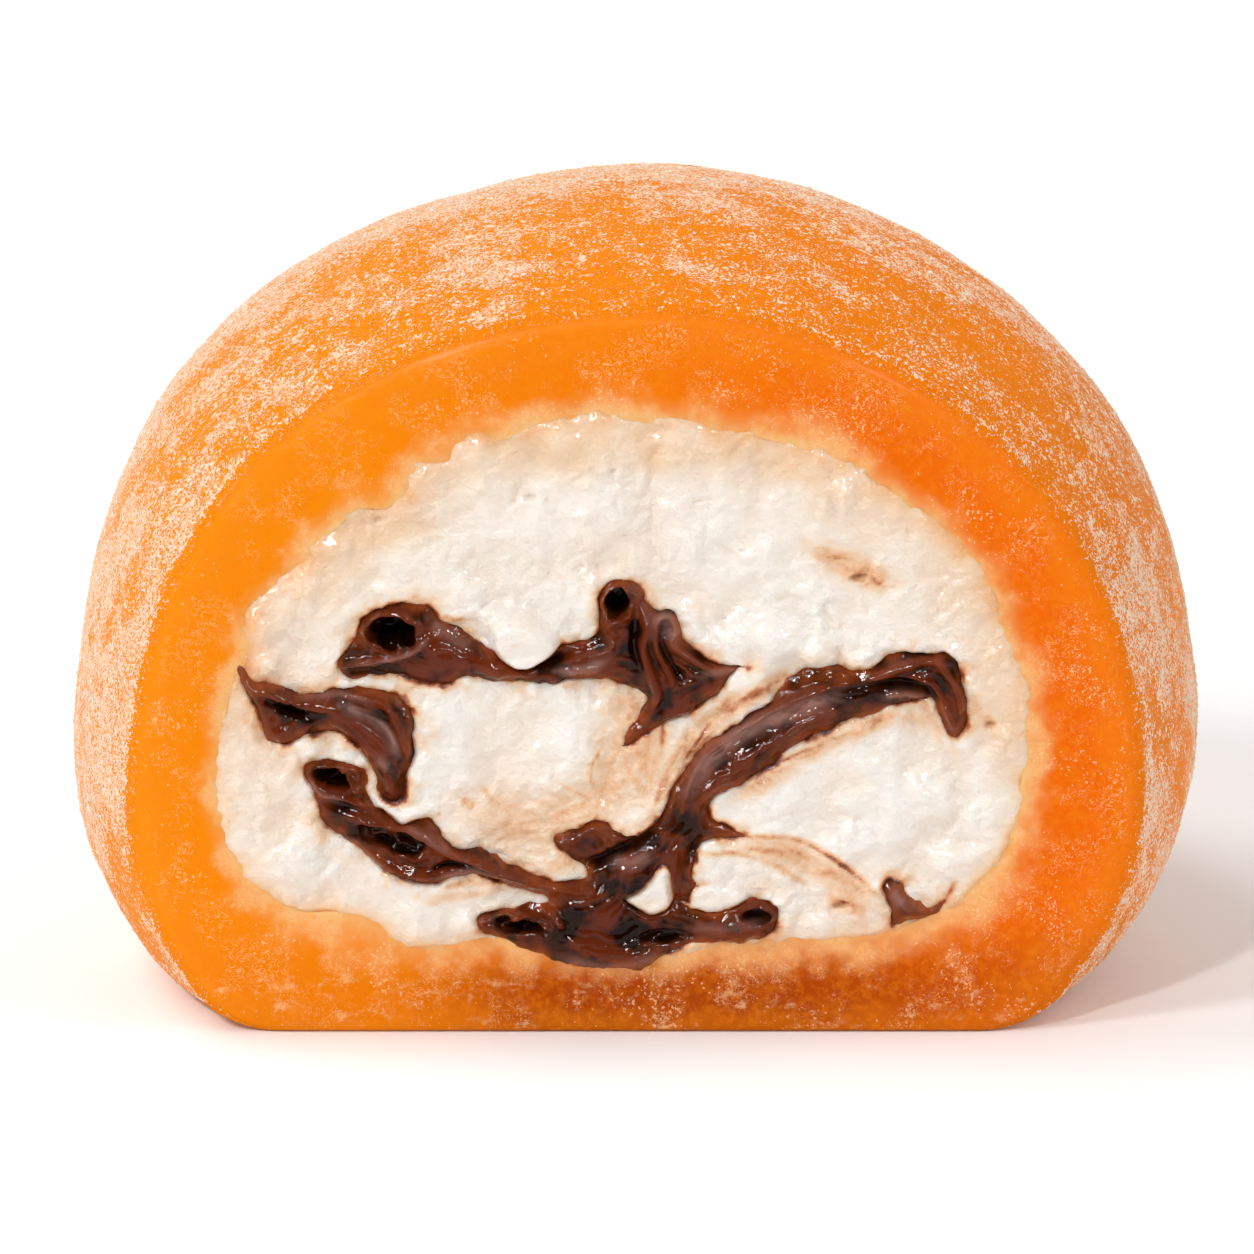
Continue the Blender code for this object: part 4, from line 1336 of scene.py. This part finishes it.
# %% Cream body
BODY_ROWS = 9
rim_index = np.flatnonzero(edge)
closed_loop = np.concatenate([cream_loop, cream_loop[:1]])
rim_share = to_line(x[rim_index], z[rim_index], closed_loop)[1] % 1.0
select_border(cream)
inner_depths = depths_to_back(HOLLOW_RADIUS - 0.1 * MM, CUT + 0.35 * MM, BODY_ROWS)[:-1]
for depth in inner_depths:
    bpy.ops.mesh.extrude_edges_move(TRANSFORM_OT_translate={"value": (0, 0, 0)})
bpy.ops.mesh.edge_face_add()
bpy.ops.object.mode_set(mode="OBJECT")
points = get_points(cream.data)
lookup = {tuple(np.float32(points[index])): k for k, index in enumerate(rim_index)}
order = np.array([lookup[tuple(np.float32(p))] for p in points[front_count:]])
ring_of = np.empty(len(order), int)
seen = {}
for n, k in enumerate(order):
    ring_of[n] = seen.get(k, 0)
    seen[k] = ring_of[n] + 1
for ring_number, depth in enumerate(inner_depths):
    pick = np.flatnonzero(ring_of == ring_number)
    rx, rz = hand_shaped(*hollow_section(depth, rim_share[order[pick]]))
    rx, rz = to_drawn_edge(rx, rz, depth, -FILLING_OVERLAP - 0.05 * MM)
    points[front_count + pick] = np.stack([rx, np.full(len(rx), depth), rz], -1)
cream.data.vertices.foreach_set("co", points.ravel())
behind = np.zeros(len(points) - front_count)
print("cream body with", len(behind), "more points in", BODY_ROWS, "rings")

# %% [markdown]
# ## Where the cream is warm or shaded
# Light that came through the dough tints the cream beside it, more at the top than at the
# bottom: painted coloured light. Patches of painted shade darken it beside the dough's edge and
# where it dips by the sauce. These are kept as numbers for the material.

# %% Marks on the cream
x, z = points[:, 0], points[:, 2]
to_edge = np.append(to_edge, behind)
warm_light_and_shade = np.zeros(len(points))
ragged_patch = 0.25 * hills(x, z, 1.6 * MM, 75)
for px, py, wide, high, turn, strength in LIGHT_AND_SHADE_PATCHES:
    reach = bubble(x, z, px, py, wide, high, turn) + ragged_patch
    warm_light_and_shade = np.maximum(warm_light_and_shade, strength * (1 - smooth(reach, 0.2, 1.2)))
by_edge = np.exp(-to_edge / (1.1 * MM)) * (0.35 + 0.65 * smooth(z, 10 * MM, 18 * MM))
from_dough = 0.55 * np.exp(-to_edge / (4.0 * MM)) * smooth(z, 9 * MM, 18 * MM)
warm_light_and_shade = np.clip(np.maximum(warm_light_and_shade, 0.9 * by_edge) + from_dough, 0, 1)
# stain is real colour; hollow is painted shade; warm is painted light and shade; rim is the orange edge
paint(cream, "stain", np.append(stain, behind))
paint(cream, "hollow_shade", np.append(hollow_shade, behind))
paint(cream, "rim", np.exp(-np.maximum(to_edge - 0.28 * MM, 0) / (0.50 * MM)))
paint(cream, "warm_light_and_shade", warm_light_and_shade)
finish_mesh(cream)
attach(cream, "root")
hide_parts("marshmallow")

# %% [markdown]
# ## Marshmallow
# Beaten egg white and syrup hold countless bubbles, so the cream is white through and through,
# soft to light and barely shiny. The stain that was painted on it runs from clean cream through
# caramel to chocolate, in the colours that thin sauce takes as it thickens. The warm marks, which
# are painted light and painted shade, and the painted shade in its hollows are then multiplied
# on, as coloured light is.

# %% Cream material
CREAM_WHITE = from_screen(250, 243, 236)
CREAM_SHADY = from_screen(243, 216, 188)
CREAM_RIM, CREAM_WARM, CREAM_HOLLOW_SHADE = (1.0, 0.62, 0.27), (0.92, 0.70, 0.48), (0.93, 0.84, 0.74)
TAN = from_screen(236, 188, 144)
CARAMEL = from_screen(192, 106, 54)
BROWN = from_screen(92, 40, 20)

whip = Finish(
    "marshmallow_cream", 0.36,
    Subsurface_Weight=0.26, Subsurface_Scale=0.0005, Subsurface_Radius=(1.0, 0.75, 0.55),
    Coat_Weight=0.20, Coat_Roughness=0.09,
)
place = whip.add("TexCoord").outputs["Object"]
stained = whip.read("stain")
grain = whip.noise(place, 0.16 * MM, 2.0)
amount = whip.sum("MULTIPLY", stained, whip.slope(grain, 0.25, 0.75, 0.75, 1.2))
colour = whip.ramp(amount, [
    (0.0, CREAM_WHITE), (0.14, CREAM_SHADY), (0.34, TAN), (0.60, CARAMEL), (0.88, BROWN),
])
uneven = whip.slope(whip.noise(place, 1.2 * MM, 3.0), 0.3, 0.7, 0.6, 1.0)
blotch = whip.slope(whip.noise(place, 0.9 * MM, 4.0), 0.35, 0.60, 0.30, 1.0)
# warm marks are painted light and shade, hollow marks painted shade
for mark, share, tint in (
    ("warm_light_and_shade", uneven, CREAM_WARM), ("hollow_shade", 0.55, CREAM_HOLLOW_SHADE), ("rim", blotch, CREAM_RIM),
):
    share = whip.sum("MULTIPLY", whip.read(mark), share)
    colour = whip.blend(share, colour, whip.blend(1.0, colour, (*tint, 1), "MULTIPLY"))
whip.feed(whip.shader.inputs["Base Color"], colour)
combed = whip.noise(place, 0.15 * MM, 4.0, stretch=(0.8, 1, 1.1), rough=0.6)
whip.feed(whip.shader.inputs["Normal"], whip.bump(combed, 0.15 * MM))
cream.data.materials.append(whip.material)

# %% [markdown]
# ## The ribbons
# Each ribbon's face reaches a little past its outline and dives behind the cream there, so the
# line between the two is where the surfaces really meet. Its border then runs back into the
# cream and narrows, as the solid does, and is closed at its end. All four share one material,
# which is started here and filled in below.

# %% Ribbon meshes
RIBBON_CELL = 0.085 * MM
BOX_MARGIN = 0.7 * MM
RIBBON_BACK = {
    "chocolate_upper": 0.0120, "chocolate_left": 0.0095,
    "chocolate_lower": 0.0135, "chocolate_corner": 0.0030,
}
RIBBON_SHRINK = 0.74

chocolate = Finish(
    "dark_chocolate_sauce", 0.22, Specular_IOR_Level=0.12, Coat_Weight=0.11, Coat_Roughness=0.03
)
for name, loop in loops.items():

    def reach(x, z):
        wx, wz = wobble(x, z)
        return depth_inside(wx, wz, loop)

    ribbon = face_grid(
        name + "_sauce", loop.min(0) - BOX_MARGIN, loop.max(0) + BOX_MARGIN, RIBBON_CELL,
        lambda x, z: reach(x, z)[0] > -PAST_OUTLINE,
    )
    points = get_points(ribbon.data)
    edge = border(ribbon.data)
    x, z = points[:, 0], points[:, 2]
    inside, grow = reach(x, z)
    pull = np.where(edge, -PAST_OUTLINE - inside, 0)
    x, z = x + pull * grow[:, 0], z + pull * grow[:, 1]
    inside = np.where(edge, -PAST_OUTLINE, inside)
    relief, fold = ribbon_relief(x, z, name, inside)
    points = np.stack([x, CUT - relief - 0.02 * MM, z], -1)
    ribbon.data.vertices.foreach_set("co", points.ravel())
    count, back = len(points), RIBBON_BACK[name]
    select_border(ribbon)
    bpy.ops.mesh.extrude_edges_move(TRANSFORM_OT_translate={"value": (0, back - CUT, 0)})
    bpy.ops.mesh.fill(use_beauty=False)
    bpy.ops.object.mode_set(mode="OBJECT")
    points = get_points(ribbon.data)
    tail = points[count:]
    tail[:, 0] *= RIBBON_SHRINK
    tail[:, 1] = back
    tail[:, 2] = BELT + (tail[:, 2] - BELT) * RIBBON_SHRINK
    ribbon.data.vertices.foreach_set("co", points.ravel())
    # paler streaks, partly painted sheen
    milky_and_sheen = np.zeros(count)
    for points_px, half_width, strength in MILKY_AND_SHEEN_STREAKS[name]:
        milky_and_sheen = np.maximum(milky_and_sheen, strength * stroke(x, z, points_px, half_width))
    marks = {
        "thin": np.exp(-np.maximum(inside, 0) / (0.38 * MM)),
        "fold": 0.4 + fold / (0.5 * MM),
        "milky_and_sheen": milky_and_sheen,
    }
    for mark, values in marks.items():
        paint(ribbon, mark, np.append(values, np.zeros(len(tail))))
    finish_mesh(ribbon)
    ribbon.data.materials.append(chocolate.material)
    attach(ribbon, "root")
    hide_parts(name)

# %% [markdown]
# ## Chocolate
# Thick sauce is dark; it is painted nearly black in its creases and bubbles and lighter on its
# raised folds, as painted shade, and a warm red-brown where it thins out over the cream. Paler
# streaks are partly a little cream folded into it and partly painted sheen. A thin clear coat
# gives the wet, sharp gloss, and a faint grain keeps it from looking cast.

# %% Chocolate material
DARK = from_screen(20, 3, 0)
MID = from_screen(96, 35, 10)
THIN = from_screen(162, 78, 34)
MILKY_AND_SHEEN = from_screen(174, 128, 116)
DEEP_SHADE = (0.012, 0.003, 0.001)

place = chocolate.add("TexCoord").outputs["Object"]
cloud = chocolate.noise(place, 0.9 * MM, 3.0)
cloudy = chocolate.slope(cloud, 0.3, 0.7, -0.55, 0.50)
# painted shade: lighter on raised folds, darker in creases, with random tone
fold_shade_and_tone = chocolate.sum("ADD", chocolate.read("fold"), cloudy)
colour = chocolate.blend(chocolate.slope(fold_shade_and_tone, 0.15, 0.85), (*DARK, 1), (*MID, 1))
thin_here = chocolate.slope(chocolate.noise(place, 0.5 * MM, 2.0), 0.35, 0.65, 0.15, 0.85)
edge_share = chocolate.sum("MULTIPLY", chocolate.read("thin"), thin_here)
colour = chocolate.blend(edge_share, colour, (*THIN, 1))
streaky = chocolate.noise(place, 0.35 * MM, 3.0, stretch=(0.5, 1, 1))
streaky = chocolate.slope(streaky, 0.30, 0.55, 0.50, 1.0)
# paler streaks: cream folded in, and painted sheen on broad faces
milky_and_sheen = chocolate.sum("MULTIPLY", chocolate.read("milky_and_sheen"), streaky)
colour = chocolate.blend(milky_and_sheen, colour, (*MILKY_AND_SHEEN, 1))
# painted shade: near black deep in the bubbles and creases
deep = chocolate.slope(chocolate.read("fold"), -1.8, -0.2)
colour = chocolate.blend(deep, (*DEEP_SHADE, 1), colour)
chocolate.feed(chocolate.shader.inputs["Base Color"], colour)
spots = chocolate.noise(place, 0.30 * MM, 3.0)
chocolate.feed(chocolate.shader.inputs["Roughness"], chocolate.slope(spots, 0.35, 0.70, 0.04, 0.16))
chocolate.feed(chocolate.shader.inputs["Normal"], chocolate.bump(spots, 0.09 * MM))

# %% [markdown]
# ## Loose starch
# A painted film alone looks flat at the dome's edge, where real starch stands up in grains. So
# one grain is modelled, and copies of it, each turned and sized on its own, are scattered on
# the shell as thickly as the starch map says.

# %% One grain
GRAINS = 48000
GRAIN_LONG, GRAIN_SPREAD = 0.108, 0.35
TURN_SPREAD = 0.85
bpy.ops.object.select_all(action="DESELECT")
bpy.ops.mesh.primitive_cone_add(vertices=3, radius1=1, depth=1.4, location=(0, 0, 0.5))
bpy.ops.object.transform_apply()
starch_grains = bpy.context.object
starch_grains.name = "starch_grains"
shape = get_points(starch_grains.data)
faces = [tuple(face.vertices) for face in starch_grains.data.polygons]
print("one grain has", len(faces), "faces")

# %% [markdown]
# ## Where the grains land
# Each grain picks a cell of the shell's grid, more often where the cell is large and the starch
# thick, then a spot in that cell. It lies flat, about along the grid's columns, give or take.

# %% Scatter the grains
rng = np.random.default_rng(5)
patch = skin[across == 0]
side_a = np.linalg.norm(patch[1:, :-1] - patch[:-1, :-1], axis=2)
side_b = np.linalg.norm(patch[:-1, 1:] - patch[:-1, :-1], axis=2)
above_floor = patch[:-1, :-1, 2] > 0.4 * MM
weight = side_a * side_b * above_floor * np.clip(starch_and_rim_sheen[:len(side_a), :-1], 0.04, 1) ** 1.6
cells = rng.choice(weight.size, GRAINS, p=(weight / weight.sum()).ravel())
ci, cj = np.unravel_index(cells, weight.shape)
u, v = rng.random((2, GRAINS, 1))
place_at = (
    patch[ci, cj] * (1 - u) * (1 - v) + patch[ci + 1, cj] * u * (1 - v)
    + patch[ci, cj + 1] * (1 - u) * v + patch[ci + 1, cj + 1] * u * v
)
up = grid_normals(skin)[ci, cj]
up *= np.sign((up * (place_at - [0, 0, BELT])).sum(1, keepdims=True))
lie = patch[ci, cj + 1] - patch[ci, cj]
lie /= np.linalg.norm(lie, axis=1, keepdims=True)
cross = np.cross(up, lie)
turn = rng.normal(0, TURN_SPREAD, (GRAINS, 1))
lie, cross = lie * np.cos(turn) + cross * np.sin(turn), cross * np.cos(turn) - lie * np.sin(turn)
long = rng.lognormal(math.log(GRAIN_LONG), GRAIN_SPREAD, (GRAINS, 1, 1)) * MM
wide = long * rng.uniform(0.28, 0.50, (GRAINS, 1, 1))
tall = long * rng.uniform(0.15, 0.30, (GRAINS, 1, 1))
vertices = (
    place_at[:, None] + long * shape[None, :, 0:1] * lie[:, None]
    + wide * shape[None, :, 1:2] * cross[:, None] + tall * shape[None, :, 2:3] * up[:, None]
)
all_faces = np.concatenate([
    (np.array(face)[None] + len(shape) * np.arange(GRAINS)[:, None]) for face in faces
])
mesh = bpy.data.meshes.new("starch_grains")
mesh.from_pydata(vertices.reshape(-1, 3), [], all_faces.tolist())
starch_grains.data = mesh
paint(starch_grains, "shade", np.repeat(rng.random(GRAINS), len(shape)))
finish_mesh(starch_grains, 0.0)
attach(starch_grains, "root")

# %% [markdown]
# ## Starch
# A grain of starch is white, but light from the dough below warms it, and some grains are
# damper than others. The number kept for each grain picks its shade.

# %% Starch material
DAMP_GRAIN = from_screen(252, 184, 124)
WARM_GRAIN = from_screen(255, 214, 184)
DRY_GRAIN = from_screen(255, 238, 226)

powder = Finish("rice_starch", 0.75, Subsurface_Weight=0.3, Subsurface_Scale=0.0004)
shade = powder.ramp(powder.read("shade"), [
    (0.0, DAMP_GRAIN), (0.45, WARM_GRAIN), (1.0, DRY_GRAIN),
])
powder.feed(powder.shader.inputs["Base Color"], shade)
starch_grains.data.materials.append(powder.material)
